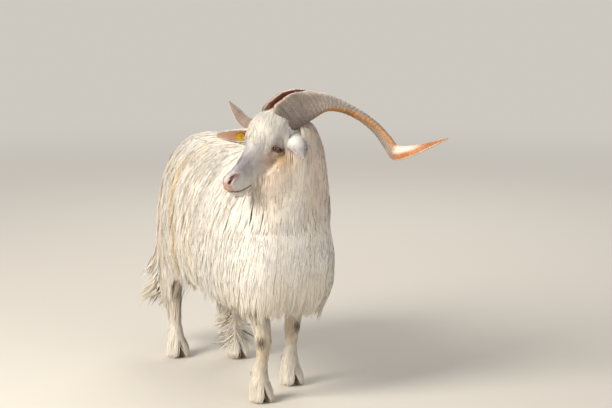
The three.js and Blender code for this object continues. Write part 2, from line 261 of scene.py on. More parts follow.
# mesh tools
def addMesh(name, spots, quads=(), tris=(), flat=False):
    mesh = bpy.data.meshes.new(name)
    quads = np.asarray(quads, int).reshape(-1, 4)
    tris = np.asarray(tris, int).reshape(-1, 3)
    mesh.vertices.add(len(spots))
    mesh.vertices.foreach_set("co", np.asarray(spots, np.float32).ravel())
    loops = np.concatenate([quads.ravel(), tris.ravel()])
    mesh.loops.add(len(loops))
    mesh.loops.foreach_set("vertex_index", loops)
    sizes = np.concatenate([np.full(len(quads), 4), np.full(len(tris), 3)])
    mesh.polygons.add(len(sizes))
    if len(sizes):
        mesh.polygons.foreach_set("loop_start", np.concatenate([[0], np.cumsum(sizes)[:-1]]))
        mesh.polygons.foreach_set("loop_total", sizes)
        mesh.polygons.foreach_set("use_smooth", np.full(len(sizes), not flat))
    mesh.update(calc_edges=True)
    piece = bpy.data.objects.new(name, mesh)
    bpy.context.scene.collection.objects.link(piece)
    return piece


def spotsOf(mesh, key="co"):
    values = np.empty(len(mesh.vertices) * 3, np.float32)
    mesh.vertices.foreach_get(key, values)
    return values.reshape(-1, 3).astype(float)


def normalsOf(mesh):
    return spotsOf(mesh, "normal")


def setSpots(mesh, co):
    mesh.vertices.foreach_set("co", np.asarray(co, np.float32).ravel())
    mesh.update()


def paintPoints(mesh, name, colors):
    layer = mesh.color_attributes.new(name, "FLOAT_COLOR", "POINT")
    rgba = np.ones((len(colors), 4), np.float32)
    rgba[:, :3] = colors
    layer.data.foreach_set("color", rgba.ravel())


def addMeasure(mesh, name, values):
    # a number or a vector at every point, for the nodes to read
    values = np.asarray(values, np.float32)
    kind, key = ("FLOAT", "value") if values.ndim == 1 else ("FLOAT_VECTOR", "vector")
    mesh.attributes.new(name, kind, "POINT").data.foreach_set(key, values.ravel())


def bandQuads(rows, around, ring=False):
    # the faces between closed rows of points; ring joins the last row to the first
    i, j = np.meshgrid(np.arange(rows), np.arange(around), indexing="ij")
    below, beside = (i + 1) % (rows if ring else rows + 1), (j + 1) % around
    corners = (i * around + j, below * around + j, below * around + beside, i * around + beside)
    return np.stack(corners, -1).reshape(-1, 4)


def flipped(quads):
    return quads[:, [0, 3, 2, 1]]


def ballGrid(rows, around):
    # how far each point lies from a ball's pole, and its way from the middle
    polar = np.linspace(0, math.pi, rows + 1)
    polar, ring = np.meshgrid(polar, np.arange(around) / around * 2 * math.pi, indexing="ij")
    return polar, np.stack([np.sin(polar) * np.cos(ring), np.sin(polar) * np.sin(ring), np.cos(polar)], -1)


def cleanShell(mesh, gap=1e-7):
    # closes the seams and turns the faces outwards
    bm = bmesh.new()
    bm.from_mesh(mesh)
    bmesh.ops.remove_doubles(bm, verts=bm.verts, dist=gap)
    bmesh.ops.recalc_face_normals(bm, faces=bm.faces)
    bm.to_mesh(mesh)
    bm.free()


def addMap(mesh, name, places):
    mesh.uv_layers.new(name=name).data.foreach_set("uv", places.astype(np.float32).ravel())


def applied(piece):
    # the piece with its modifiers made real
    graph = bpy.context.evaluated_depsgraph_get()
    mesh = bpy.data.meshes.new_from_object(piece.evaluated_get(graph))
    old = piece.data
    piece.modifiers.clear()
    piece.data = mesh
    bpy.data.meshes.remove(old)
    return piece


def remeshed(piece, size):
    changer = piece.modifiers.new("remesh", "REMESH")
    changer.mode, changer.voxel_size = "VOXEL", size
    return applied(piece)


def throughPoints(points, t):
    # a smooth curve through the points, evenly shared between them
    points = np.asarray(points, float)
    p = np.vstack([2 * points[0] - points[1], points, 2 * points[-1] - points[-2]])
    spans = len(points) - 1
    at = np.clip(np.asarray(t) * spans, 0, spans - 1e-9)
    i = at.astype(int)
    w = (at - i)[:, None]
    p0, p1, p2, p3 = p[i], p[i + 1], p[i + 2], p[i + 3]
    d1 = np.maximum(np.sqrt(norm(p2 - p1, axis=1, keepdims=True)), 1e-4)
    d0 = np.sqrt(norm(p1 - p0, axis=1, keepdims=True))
    d2 = np.sqrt(norm(p3 - p2, axis=1, keepdims=True))
    d0, d2 = np.where(d0 < 1e-4, d1, d0), np.where(d2 < 1e-4, d1, d2)
    m1 = ((p1 - p0) / d0 - (p2 - p0) / (d0 + d1) + (p2 - p1) / d1) * d1
    m2 = ((p2 - p1) / d1 - (p3 - p1) / (d1 + d2) + (p3 - p2) / d2) * d1
    return p1 + m1 * w + (3 * (p2 - p1) - 2 * m1 - m2) * w**2 + (2 * (p1 - p2) + m1 + m2) * w**3


def limbShares(steps, endsDense):
    # how far along each ring lies, closer together at the ends
    even = np.linspace(0, 1, steps + 1)
    return mix(even, (1 - np.cos(even * math.pi)) / 2, endsDense)


def limbRows(rings, aim, t):
    rings = np.asarray(rings, float)
    middle, reach = throughPoints(rings[:, :3], t), throughPoints(rings[:, 3:6], t)
    before, after = np.maximum(t - 1e-4, 0), np.minimum(t + 1e-4, 1)
    tangent = unit(throughPoints(rings[:, :3], after) - throughPoints(rings[:, :3], before))
    front, fronts = np.array(aim, float), []
    for way in tangent:
        front = unit(front - way * (front @ way))
        fronts.append(front)
    return middle, reach, tangent, np.array(fronts)


def ovalRings(around, side, front, back, power, lowPower):
    # squarish ovals: how far each point lies to the side and to the front
    angle = np.arange(around) / around * 2 * math.pi
    c, s = np.cos(angle)[None], np.sin(angle)[None]
    bend = 2 / np.where(s > 0, power, lowPower)
    wide = side * np.sign(c) * np.abs(c) ** bend
    return wide, np.where(s > 0, front, back) * np.sign(s) * np.abs(s) ** bend


def limb(rings, aim=(0, 0, 1), around=32, steps=40, power=2.2, lowPower=None, blunt=0.1, endsDense=0.35,
         turnOver=0):
    # a round-ended body swept down its rings: x, y, z, side, front, back in mm
    t = limbShares(steps, endsDense)
    middle, reach, tangent, front = limbRows(rings, aim, t)
    if turnOver:
        turn = (math.radians(turnOver) * t)[:, None]
        front = front * np.cos(turn) + np.cross(tangent, front) * np.sin(turn)
    side = np.cross(front, tangent)
    fullness = np.sqrt(1 - (1 - np.minimum(1, np.minimum(t, 1 - t) / blunt)) ** 2)[:, None]
    wide, deep = ovalRings(around, reach[:, :1], reach[:, 1:2], reach[:, 2:3], power, lowPower or power)
    wide, deep = (wide * fullness)[..., None], (deep * fullness)[..., None]
    spots = middle[:, None] + side[:, None] * wide + front[:, None] * deep
    return spots.reshape(-1, 3), bandQuads(steps, around)


def joinParts(parts):
    spots, quads, base = [], [], 0
    for s, q in parts:
        spots.append(s)
        quads.append(q + base)
        base += len(s)
    return np.vstack(spots), np.vstack(quads)


def voxelSkin(name, spots, quads, size):
    piece = addMesh(name, spots, quads)
    cleanShell(piece.data, 1e-5)
    return remeshed(piece, size)


def relax(mesh, weight, rounds, factor=0.5):
    # evens out the surface where the weight says so
    co = spotsOf(mesh)
    edges = np.empty(len(mesh.edges) * 2, int)
    mesh.edges.foreach_get("vertices", edges)
    a, b = edges.reshape(-1, 2).T
    many = len(co)
    count = np.bincount(a, minlength=many) + np.bincount(b, minlength=many)
    for turn in range(rounds * 2):
        near = [np.bincount(a, co[b, k], many) + np.bincount(b, co[a, k], many) for k in range(3)]
        step = factor if turn % 2 == 0 else -factor * 0.96
        co = co + (np.stack(near, 1) / np.maximum(count, 1)[:, None] - co) * (weight * step)[:, None]
    setSpots(mesh, co)


# the coat's measures, in metres where they are not shares
coatSet = {
    "spacing": 0.0066, "headSpacing": 0.0039, "guideSpacing": 0.036, "rings": 5, "step": 0.012,
    "underShare": 0.28, "underLayer": (0.88, 0.96), "underWidth": (0.0065, 0.0105),
    "layer": (0.975, 1.022), "width": (0.0014, 0.0029), "clump": (0.10, 0.45), "groove": 0.05,
    "wave": 0.0028, "waveLength": 0.13, "wind": (-0.92, 0.39, 0.0), "fringe": (0.004, 0.042),
    "spray": 0.013,
    "soften": 0.92, "flat": 0.15, "twist": 0.10, "clearEye": 25, "clearEar": 21,
    "offFloor": 0.005, "patch": 0.003,
}


def folded(q):
    # the head's right half laid on its left one
    return np.concatenate([np.abs(q[..., :1]), q[..., 1:]], -1)


def headShare(q):
    x, y, z = q.T
    wide = 26 * smooth(y, -44, -56)
    return smooth(z, -62, -30) * smooth(y, -128, -104) * smooth(np.abs(x), 80 + wide, 66 + wide)


def eyeGap(q):
    # how far a place on the face is from the nearer eye
    return norm(np.abs(q) * (1, 0, 1) + q * (0, 1, 0) - headPose["eye"], axis=1)


# the coat's outer form, taken from the CAD solids, in metres
envelopeSet = {
    "rise": 0.0032, "backRise": 0.013, "voxel": 0.009,
    "ruff": [  # fills the hollow between the jaw and the chest, in mm
        (-28, -366, 745, 30, 30, 40), (-26, -378, 700, 58, 42, 50), (-12, -384, 650, 76, 50, 60),
        (4, -380, 590, 84, 54, 60), (10, -370, 530, 60, 40, 50),
    ],
}


def sidesOf(*kinds):
    return [kind + "_" + side for kind in kinds for side in ("left", "right")]


def makeEnvelope():
    names = ["head", "neck", "trunk", "tail", *sidesOf("foreleg", "hindleg")]
    spots, tris, base = [], [], 0
    for name in names:
        mesh = nodes[name].data
        mesh.calc_loop_triangles()
        bm = bmesh.new()
        bm.from_mesh(mesh)
        bmesh.ops.remove_doubles(bm, verts=bm.verts, dist=1e-6)
        bm.normal_update()
        bm.verts.index_update()
        high = envelopeSet["backRise"] * (name == "trunk")
        lift = lambda v: envelopeSet["rise"] + high * max(v.normal.z, 0)
        spots.append(np.array([(v.co + v.normal * lift(v))[:] for v in bm.verts]))
        tris.append(np.array([[v.index for v in f.verts] for f in bm.faces if len(f.verts) == 3]) + base)
        base += len(bm.verts)
        bm.free()
    ruff, quads = limb(envelopeSet["ruff"], aim=(0, -1, 0), around=24, steps=20, power=2.0)
    tris.append(np.vstack([quads[:, [0, 1, 2]], quads[:, [0, 2, 3]]]) + base)
    spots.append(fromBody(ruff))
    piece = remeshed(addMesh("envelope", np.vstack(spots), tris=np.vstack(tris)), envelopeSet["voxel"])
    co = spotsOf(piece.data)
    calm = smooth(toBody(co)[:, 2], 280, 360) * (1 - headShare(toHead(co)))
    relax(piece.data, np.ones(len(co)), 6)
    relax(piece.data, calm, 24, 0.6)
    # the crease where the neck meets the chest
    _, y, z = toBody(co).T
    relax(piece.data, smooth(np.abs(z - 560), 130, 60) * smooth(y, -270, -320), 60, 0.6)
    mesh = piece.data.copy()
    bpy.data.objects.remove(piece)
    return mesh


envelopeMesh = makeEnvelope()


# the body under the coat
feet = {"fore": ((97, -163), (-70, -330)), "hind": ((80, 244), (-93, 333))}
bodySet = {
    "voxel": 0.0064, "cheekFur": 0.0085, "coatDepth": 0.017,
    "trunk": [  # along, half width, top, bottom, sideways
        (446, 44, 560, 440, 0), (424, 76, 622, 392, 0), (384, 104, 664, 350, 0), (322, 122, 698, 312, 0),
        (220, 134, 710, 296, 0), (80, 140, 698, 288, 0), (-60, 140, 694, 286, 0), (-180, 142, 702, 284, 2),
        (-270, 140, 636, 284, 7), (-338, 128, 578, 290, 12), (-388, 100, 524, 322, 15),
        (-412, 58, 474, 366, 16),
    ],
    "neck": [
        (8, -200, 450, 122, 92, 100), (14, -258, 510, 132, 102, 116), (20, -290, 575, 122, 98, 108),
        (26, -310, 640, 102, 88, 92), (32, -318, 700, 86, 82, 78), (36, -320, 755, 74, 74, 66),
        (34, -318, 800, 58, 60, 54), (30, -316, 822, 38, 42, 38),
    ],
    "tail": [(0, 396, 632, 15, 14, 16), (-4, 432, 634, 17, 16, 17), (-10, 462, 602, 17, 14, 17),
             (-13, 476, 556, 12, 9, 12),
             (-14, 480, 522, 6, 5, 6)],
    "head": [  # along, middle, half width, up, down
        (-56, -22, 43, 26, 36), (-32, -24, 54, 45, 66), (8, -26, 58, 58, 82), (45, -28, 56, 66, 84),
        (82, -30, 51, 53, 78),
        (114, -32, 41, 42, 68), (148, -32, 32.5, 37.5, 58.5), (182, -31, 27, 35.5, 49.5),
        (210, -27, 26.5, 34, 45),
        (232, -22, 25, 33, 51), (248, -23, 20.5, 22, 43), (256, -25, 13, 12, 26),
    ],
}


def foreLeg(foot):
    x, y = foot
    out = 1 if x > 0 else -1
    # the knee stands a little in front of the foot
    bowX, bowY = (2, -14) if x > 0 else (8, -16)
    lean = lambda share: mix(y, -255, share) + bowY
    shin = lambda share, ahead, *rest: (x + bowX * share, y + bowY * share + ahead, *rest)
    return [
        (out * 94, -262, 470, 42, 58, 58), (out * 97, lean(0.86), 420, 42, 58, 58),
        (out * 95, lean(0.55), 350, 36, 46, 50),
        (x + bowX + out * 12, lean(0.3), 285, 30, 34, 36), (x + bowX + out * 5, lean(0.1), 235, 25, 27, 28),
        (x + bowX + out * 2, lean(0.02), 198, 22.5, 24.5, 22.5), shin(1, 0, 172, 22.5, 22.5, 20.5),
        shin(0.9, 0, 148, 18, 17.5, 18.5),
        shin(0.7, 0, 120, 15.6, 16, 17.6), shin(0.35, 1, 92, 20.5, 19.4, 23.5),
        shin(0.1, -4, 66, 25, 22, 24),
        shin(0, -8, 46, 30, 28, 25), shin(0, -9, 30, 31, 30, 27),
    ]


def hindLeg(foot):
    x, y = foot
    out = 1 if x > 0 else -1
    return [
        (out * 82, 300, 500, 46, 84, 92), (out * 90, 300, 430, 50, 82, 104),
        (out * 94, 302, 370, 46, 66, 92),
        (out * 96, mix(302, y + 20, 0.5), 310, 38, 50, 66), (out * 95, y + 22, 262, 28, 34, 46),
        (x, y + 24, 226, 22, 25, 34),
        (x, y + 18, 192, 20, 22, 27), (x, y + 8, 152, 16.8, 18.5, 21), (x, y + 3, 116, 16.6, 17.5, 19.5),
        (x, y, 88, 20.3, 19.5, 24.4), (x, y - 5, 64, 23.3, 21.5, 24.4), (x, y - 9, 46, 26.5, 25.5, 24),
        (x, y - 10, 30, 28, 29, 26),
    ]


def inBody(part):
    spots, quads = part
    return fromBody(spots), quads


def cheekShare(q):
    # the cheeks and the throat, where fur as thick as the face's own rounds the head off
    cheek = smooth(q[:, 1], -40, -58) * smooth(q[:, 2], -70, -35) * smooth(q[:, 2], 212, 186)
    return cheek * smooth(eyeGap(q), 22, 32)


def coatCore():
    # the coat's outer form sunk by the coat's depth; at the legs and the face it is drawn into the throat
    spots, normals = spotsOf(envelopeMesh), normalsOf(envelopeMesh)
    q, z = toHead(spots), toBody(spots)[:, 2]
    cheek = cheekShare(q) * smooth(z, 560, 610)
    rest = smooth(z, 330, 400) * (1 - headShare(q))
    depth = mix(bodySet["coatDepth"], bodySet["cheekFur"], cheek)[:, None]
    quads = np.array([p.vertices[:] for p in envelopeMesh.polygons])
    return mix(fromHead((0, -80, 60)), spots - normals * depth, np.maximum(cheek, rest)[:, None]), quads


def makeBody():
    trunk = [(x, y, 420, half, top - 420, 420 - bottom) for y, half, top, bottom, x in bodySet["trunk"]]
    head = [(0, middle, along, half, up, down) for along, middle, half, up, down in bodySet["head"]]
    parts = [
        inBody(limb(trunk, around=64, steps=90, power=2.1, lowPower=2.4, blunt=0.07)),
        inBody(limb(bodySet["neck"], aim=(0, -1, 0), around=48, steps=40, power=2.1, blunt=0.08)),
        inBody(limb(bodySet["tail"], around=20, steps=20, blunt=0.15)),
    ]
    spots, quads = limb(head, aim=(0, 1, 0), around=72, steps=90, power=2.3, lowPower=2.5, blunt=0.05)
    parts += [(fromHead(spots), quads), coatCore()]
    for rings in [foreLeg(foot) for foot in feet["fore"]] + [hindLeg(foot) for foot in feet["hind"]]:
        parts.append(inBody(limb(rings, aim=(0, -1, 0), around=32, steps=60, power=2.2, blunt=0.02)))
    skin = voxelSkin("skin", *joinParts(parts), bodySet["voxel"])
    co = spotsOf(skin.data)
    local, body = toHead(co), toBody(co)
    muzzle = smooth(local[:, 2], 50, 100) * smooth(local[:, 1], -150, -120)
    lower = smooth(body[:, 2], 250, 200)
    relax(skin.data, 1 - np.clip(muzzle + lower, 0, 1) * 0.9, 10)
    return skin


# the face: folds, lids, nostrils and mouth, in mm on the head's own axes
faceSet = {
    "bumps": [  # out to the side, up, along, reach, rise
        (45, -4, 80, 15, 4.0), (40, 4, 56, 16, 2.5), (52, -27, 62, 11, 4.0), (34, -12, 118, 17, -3.0),
        (50, -62, 40, 26, 2.5), (36, -44, 108, 15, 1.8),
        (30, -47, 140, 13, 1.2), (27, -30, 168, 13, -1.5), (19, 3, 231, 10, 3.2), (20, -29, 230, 12, 2.4),
        (12, -66, 240, 12, 2.4),
        (16, -50, 205, 15, 1.2), (0, 40, 22, 26, 3.0), (0, 28, 90, 14, 1.5),
    ],
    "nostril": ((22.5, 5.5, 213), (15.5, 6.5, 229), (11.0, -1, 242)),
    "nostrilDeep": 9.5,
    "mouth": ((-22, 258), (-31, 249), (-41, 236), (-51, 216), (-57, 198)),
    "eyeLong": (0.15, -0.82, -0.55),
    "eyeOut": (0.93, 0.30, 0.20),
    "eyeOpen": (13.5, 6.0),
    "eyeRadius": 14.0,
    "lid": 1.4, "rim": 1.15, "rimSteps": (64, 8),
}
eyeHome = np.array(headPose["eye"], float)


def eyeFrame(sign):
    mirror = np.array([sign, 1, 1])
    out = unit(np.array(faceSet["eyeOut"]))
    long = np.array(faceSet["eyeLong"])
    long = unit(long - out * (long @ out))
    up = np.cross(long, out)
    if up @ np.array([-0.03, 0.73, -0.69]) < 0:
        up = -up
    return eyeHome * mirror, out * mirror, long * mirror, up * mirror


def almond(a):
    # half height of the eye's opening at a share a of its half length, above and below
    body = np.maximum(1 - a * a, 0)
    return body**0.72 * (1 + 0.18 * a), body**0.9 * (0.80 + 0.1 * a)


def toSegment(p, a, b):
    a, b = np.asarray(a, float), np.asarray(b, float)
    t = np.clip(((p - a) @ (b - a)) / ((b - a) @ (b - a)), 0, 1)
    return norm(p - a - t[:, None] * (b - a), axis=1), t


def toPath(p, path):
    gaps = [toSegment(p, a, b) for a, b in zip(path[:-1], path[1:])]
    d = np.array([g[0] for g in gaps])
    best = d.argmin(0)
    t = (best + np.array([g[1] for g in gaps])[best, np.arange(len(p))]) / len(gaps)
    return d.min(0), t


def refine(piece, test, rounds):
    bm = bmesh.new()
    bm.from_mesh(piece.data)
    for _ in range(rounds):
        co = np.array([f.calc_center_median()[:] for f in bm.faces])
        keep = test(toHead(co))
        edges = {e for f, k in zip(bm.faces, keep) if k for e in f.edges}
        bmesh.ops.subdivide_edges(bm, edges=list(edges), cuts=1, use_grid_fill=True)
    bmesh.ops.triangulate(bm, faces=[f for f in bm.faces if len(f.verts) > 4])
    bm.to_mesh(piece.data)
    bm.free()
    for p in piece.data.polygons:
        p.use_smooth = True


def sculptFace(piece):
    mesh = piece.data
    q = toHead(spotsOf(mesh))
    n = normalsOf(mesh) @ headAxes.T
    onHead = smooth(q[:, 2], -10, 30) * smooth(q[:, 1], -150, -125)
    fold = folded(q)
    rise = np.zeros(len(q))
    for x, y, z, reach, lift in faceSet["bumps"]:
        d = norm(fold - (x, y, z), axis=1)
        rise += lift * np.exp(-((d / reach) ** 2) * 1.4)
    # lips with the mouth's line between them
    mouth, _ = toPath(q[:, 1:], faceSet["mouth"])
    near = smooth(q[:, 2], 180, 197)
    rise += near * (1.7 * np.exp(-(((mouth - 5) / 3.6) ** 2)) - 4.2 * np.exp(-((mouth / 1.7) ** 2)))
    # the groove under the nose
    groove = np.abs(q[:, 0])
    front = smooth(q[:, 2], 240, 250) * smooth(q[:, 1], -27, -20) * smooth(q[:, 1], 8, 0)
    rise -= front * 2.2 * np.exp(-((groove / 1.8) ** 2))
    # nostrils
    slit, _ = toPath(fold, faceSet["nostril"])
    rise += 1.8 * np.exp(-(((slit - 7.4) / 2.6) ** 2)) * smooth(q[:, 2], 200, 212)
    rise -= faceSet["nostrilDeep"] * np.exp(-((slit / 3.9) ** 3))
    # soft wrinkles over the upper lid
    ahead = fold - (40, 2, 96)
    wave = np.sin(ahead[:, 1] * 0.55 + ahead[:, 2] * 0.35)
    rise += 0.5 * wave * np.exp(-((norm(ahead, axis=1) / 18) ** 2))
    q = q + n * (rise * onHead)[:, None]
    for sign in (1, -1):
        home, out, long, up = eyeFrame(sign)
        d = q - home
        r = norm(d, axis=1)
        a, b, c = d @ long, d @ up, d @ out
        outside = c > -4
        radius = faceSet["eyeRadius"]
        halfLong, halfHigh = faceSet["eyeOpen"]
        upper, lower = almond(np.clip(a / halfLong, -1, 1))
        edge = np.where(b > 0, upper, lower) * halfHigh
        past = np.abs(b) - edge
        past = np.where(np.abs(a) > halfLong, np.hypot(np.abs(a) - halfLong, b), past)
        spread = np.hypot(a, b)
        # the lids lie on the ball, then run into the face, with a fold above them
        lid = radius + faceSet["lid"] + 0.6 * np.exp(-((past - 1.5) ** 2) / 3)
        lid = np.where(past < 0, radius * 0.72, lid)
        w = smooth(spread, 24, 13.5) * outside
        wanted = home + d / np.maximum(r, 1e-6)[:, None] * lid[:, None]
        crease = np.exp(-(((past - 6.2) / 1.5) ** 2)) * (b > 0) * smooth(spread, 26, 16) * outside
        under = np.exp(-(((past - 5.2) / 1.4) ** 2)) * (b < 0) * smooth(spread, 24, 15) * outside
        q = q + (wanted - q) * np.maximum(w, (past < 0) * outside * (spread < 13))[:, None]
        q = q - out * (2.6 * crease + 0.9 * under)[:, None]
        # the tear corner runs forward and down from the eye
        corner = home - long * halfLong
        tear, t = toSegment(q, corner, corner + np.array([-9 * sign, -12, 20]))
        q = q - out * (1.2 * np.exp(-((tear / 2.4) ** 2)) * smooth(t, 1, 0.3) * (past > 0.5))[:, None]
    setSpots(mesh, fromHead(q))


def lidRims():
    # a fine bare rim round each eye
    rims = []
    for sign in (1, -1):
        home, out, long, up = eyeFrame(sign)
        halfLong, halfHigh = faceSet["eyeOpen"]
        turns, around = faceSet["rimSteps"]
        angle = np.arange(turns) / turns * 2 * math.pi
        a = np.cos(angle)
        upper, lower = almond(a)
        b = np.where(np.sin(angle) >= 0, upper, -lower) * halfHigh
        rise = (faceSet["eyeRadius"] + 0.9) ** 2 - (a * halfLong) ** 2 - b**2
        lift = out[None] * np.sqrt(np.maximum(rise, 1))[:, None]
        path = home + long * (a * halfLong)[:, None] + up * b[:, None] + lift
        tangent = unit(np.roll(path, -1, 0) - np.roll(path, 1, 0))
        normal = unit(path - home)
        across = np.cross(tangent, normal)
        ring = (np.arange(around) / around * 2 * math.pi)[None, :, None]
        rim = across[:, None] * np.cos(ring) + normal[:, None] * np.sin(ring)
        spots = path[:, None] + faceSet["rim"] * rim
        quads = bandQuads(turns, around, ring=True)
        if sign < 0:
            quads = quads[:, ::-1]
        rims.append((fromHead(spots.reshape(-1, 3)), quads))
    return rims


# ears: long open leaves
earSet = {
    "length": 155, "thick": 3.2,
    "left": {"root": (58, -47, 2), "along": (0.79, 0.12, 0.60), "back": (0.18, 0.90, -0.57),
             "roll": (34, -18), "full": (1.2, 0.56)},
    "right": {"root": (-58, -47, 2), "along": (-0.66, 0.39, 0.645), "back": (-0.55, 0.15, -0.70),
              "roll": (24, 22), "full": (1, 1)},
    "steps": (84, 44),
}


def earPlace(side, u, across, lift):
    # a spot on the ear: u along it, across it from -1 to 1, lift through its thickness
    e = earSet[side]
    along = unit(np.array(e["along"]))
    back = np.array(e["back"], float)
    back = unit(back - along * (back @ along))
    wide = np.cross(back, along)
    u, across, lift = (np.asarray(v, float)[..., None] for v in (u, across, lift))
    full = mix(*e["full"], smooth(u, 0.12, 0.7))
    half = full * 35 * np.sin(math.pi * (0.16 + 0.84 * np.clip(u, 0, 1) ** 0.85)) ** 0.7 + 1.5
    rollRadius = e["roll"][0] + e["roll"][1] * u
    phi = across * half / rollRadius
    reach = (rollRadius + lift) * np.cos(phi) - rollRadius
    return (np.array(e["root"]) + along * earSet["length"] * u + back * reach + wide * (rollRadius + lift)
            * np.sin(phi))


def earGrid():
    # rows along the ear, and rings over its inner and outer faces
    n, m = earSet["steps"]
    u = 1 - (1 - np.linspace(0, 1, n + 1)) ** 1.25
    ring = np.arange(m) / m * 2 * math.pi
    across = np.sign(np.cos(ring)) * np.abs(np.cos(ring)) ** 0.8
    uu, aa = np.meshgrid(u, across, indexing="ij")
    return uu, aa, np.sin(ring)[None] * np.ones_like(uu)


def earLeaf(side):
    # inner and outer faces with a rounded rim between them
    n, m = earSet["steps"]
    uu, aa, face = earGrid()
    thick = earSet["thick"] * (1.15 - 0.45 * uu)
    rim = np.sqrt(np.maximum(1 - aa**2, 0)) ** 0.5
    lift = face * thick / 2 * np.maximum(rim, 0.35)
    inner = face < 0
    # ribs run the ear's length inside, and its rim turns in a little
    lift = lift + inner * 0.7 * np.sin(aa * 11) * np.exp(-((aa / 0.75) ** 4)) * smooth(uu, 1.0, 0.7)
    lift = lift - 1.6 * np.abs(aa) ** 6 * smooth(uu, 0.05, 0.3)
    ripple = 1.2 * np.sin(uu * 13 + np.sign(aa) * 1.3) * np.abs(aa) ** 3
    spots = earPlace(side, uu * 0.985, aa * 0.97, lift + ripple)
    grid = spots.reshape(-1, 3)
    first = np.arange(m)
    quads = np.vstack([flipped(bandQuads(n, m)), capQuads(first[::-1]), capQuads(first + n * m)])
    return fromHead(grid), quads


def capQuads(ring):
    # closes a ring whose two halves mirror each other
    m = len(ring)
    return np.array([[ring[i], ring[i + 1], ring[m - 2 - i], ring[m - 1 - i]] for i in range(m // 2 - 1)])


def makeSkin():
    skin = makeBody()
    refine(skin, lambda q: (q[:, 2] > -28) & (q[:, 1] > -118) & (q[:, 2] < 300), 2)
    q = toHead(spotsOf(skin.data))
    face = smooth(q[:, 2], -40, -20) * smooth(q[:, 1], -128, -112)
    relax(skin.data, face, 3)
    sculptFace(skin)
    q = toHead(spotsOf(skin.data))
    eyeNear = np.minimum(*(norm(q - eyeHome * (s, 1, 1), axis=1) for s in (1, -1)))
    relax(skin.data, smooth(q[:, 2], 10, 40) * smooth(eyeNear, 12, 20) * 0.5, 1)
    count = len(skin.data.vertices)
    spots, quads = joinParts(lidRims() + [earLeaf("left"), earLeaf("right")])
    more = addMesh("more", spots, quads)
    cleanShell(more.data, 1e-6)
    with bpy.context.temp_override(active_object=skin, selected_editable_objects=[skin, more], object=skin):
        bpy.ops.object.join()
    return skin, count


skin, bodyCount = makeSkin()
skinSpots, skinNormals = spotsOf(skin.data), normalsOf(skin.data)
print("skin", len(skin.data.polygons), "faces")


# markings and painted shade shared by the skin and the coat: linear colours over places on the body
paintSet = {
    "white": (0.89, 0.85, 0.79),
    # painted shade at the roots of the locks and on the locks underneath
    "deep": (0.72, 0.59, 0.41),
    # tan: real stains, and painted shade in the folds and on the lower chest
    "stainAndShade": (0.76, 0.62, 0.41),
    "knee": (0.16, 0.12, 0.09),
    "flesh": (0.52, 0.26, 0.19),
    "nose": (0.33, 0.15, 0.10),
    "tear": (0.40, 0.21, 0.13),
    "rim": (0.065, 0.024, 0.018),
    # pink skin inside the ears, with a painted orange glow of light shining through
    "earInsideAndGlow": (0.70, 0.34, 0.17),
    # painted shade cast by the brow over the eye
    "browShade": (0.42, 0.33, 0.34),
    # painted bluish shade on the side of the face and on the left ear
    "mauveShade": (0.33, 0.295, 0.315),
    # painted shadow at the root of the left ear, under the horn
    "earRootShadow": (0.20, 0.16, 0.15),
    "shade": (0.66, 0.55, 0.42),
    # painted warm shade on the cheeks, jaw and neck
    "peachShade": (0.66, 0.48, 0.35),
    # painted warm light bounced onto the cheek under the eye
    "bouncedGold": (0.62, 0.40, 0.18),
}


bodyBlots = [  # colour, strength, middle and reach in mm
    ("stainAndShade", 0.6, (-58, -360, 150), (26, 40, 42)), ("stainAndShade", 0.7, (88, -200, 178), (22, 30, 40)),
    ("knee", 1.3, (-77, -366, 181), (13, 24, 17)), ("knee", 1.3, (106, -204, 186), (13, 24, 17)),
]
faceBlots = [  # the same on the head's own axes, on both sides
    # painted warm shade on the cheeks and jaw, painted bluish shade down the nose and on the temple,
    # painted bounced light under the eye, painted shade under the brow and under the jaw; tear stains round
    # the eyes and tan on the forehead
    ("peachShade", 0.90, (48, -84, 116), (46, 46, 80)), ("mauveShade", 1.10, (12, 4, 168), (34, 32, 60)),
    ("mauveShade", 0.70, (30, 8, 96), (20, 18, 32)), ("mauveShade", 0.30, (56, -8, 26), (24, 20, 30)),
    ("bouncedGold", 0.90, (64, -62, 84), (32, 24, 28)), ("tear", 0.50, (34, -26, 118), (16, 16, 26)),
    ("browShade", 0.75, (53, -20, 62), (14, 12, 15)), ("tear", 0.85, (42, -27, 98), (14, 9, 12)),
    ("tear", 0.45, (38, -42, 112), (13, 12, 18)), ("shade", 0.55, (46, -112, 150), (50, 24, 70)),
    ("stainAndShade", 0.35, (8, 30, 86), (16, 14, 34)),
]


def blot(p, middle, reach):
    d = (p - np.asarray(middle, float)) / np.asarray(reach, float)
    return np.exp(-(d * d).sum(1))


def blend(color, other, w):
    return color + (np.asarray(paintSet[other]) - color) * np.clip(w, 0, 1)[:, None]


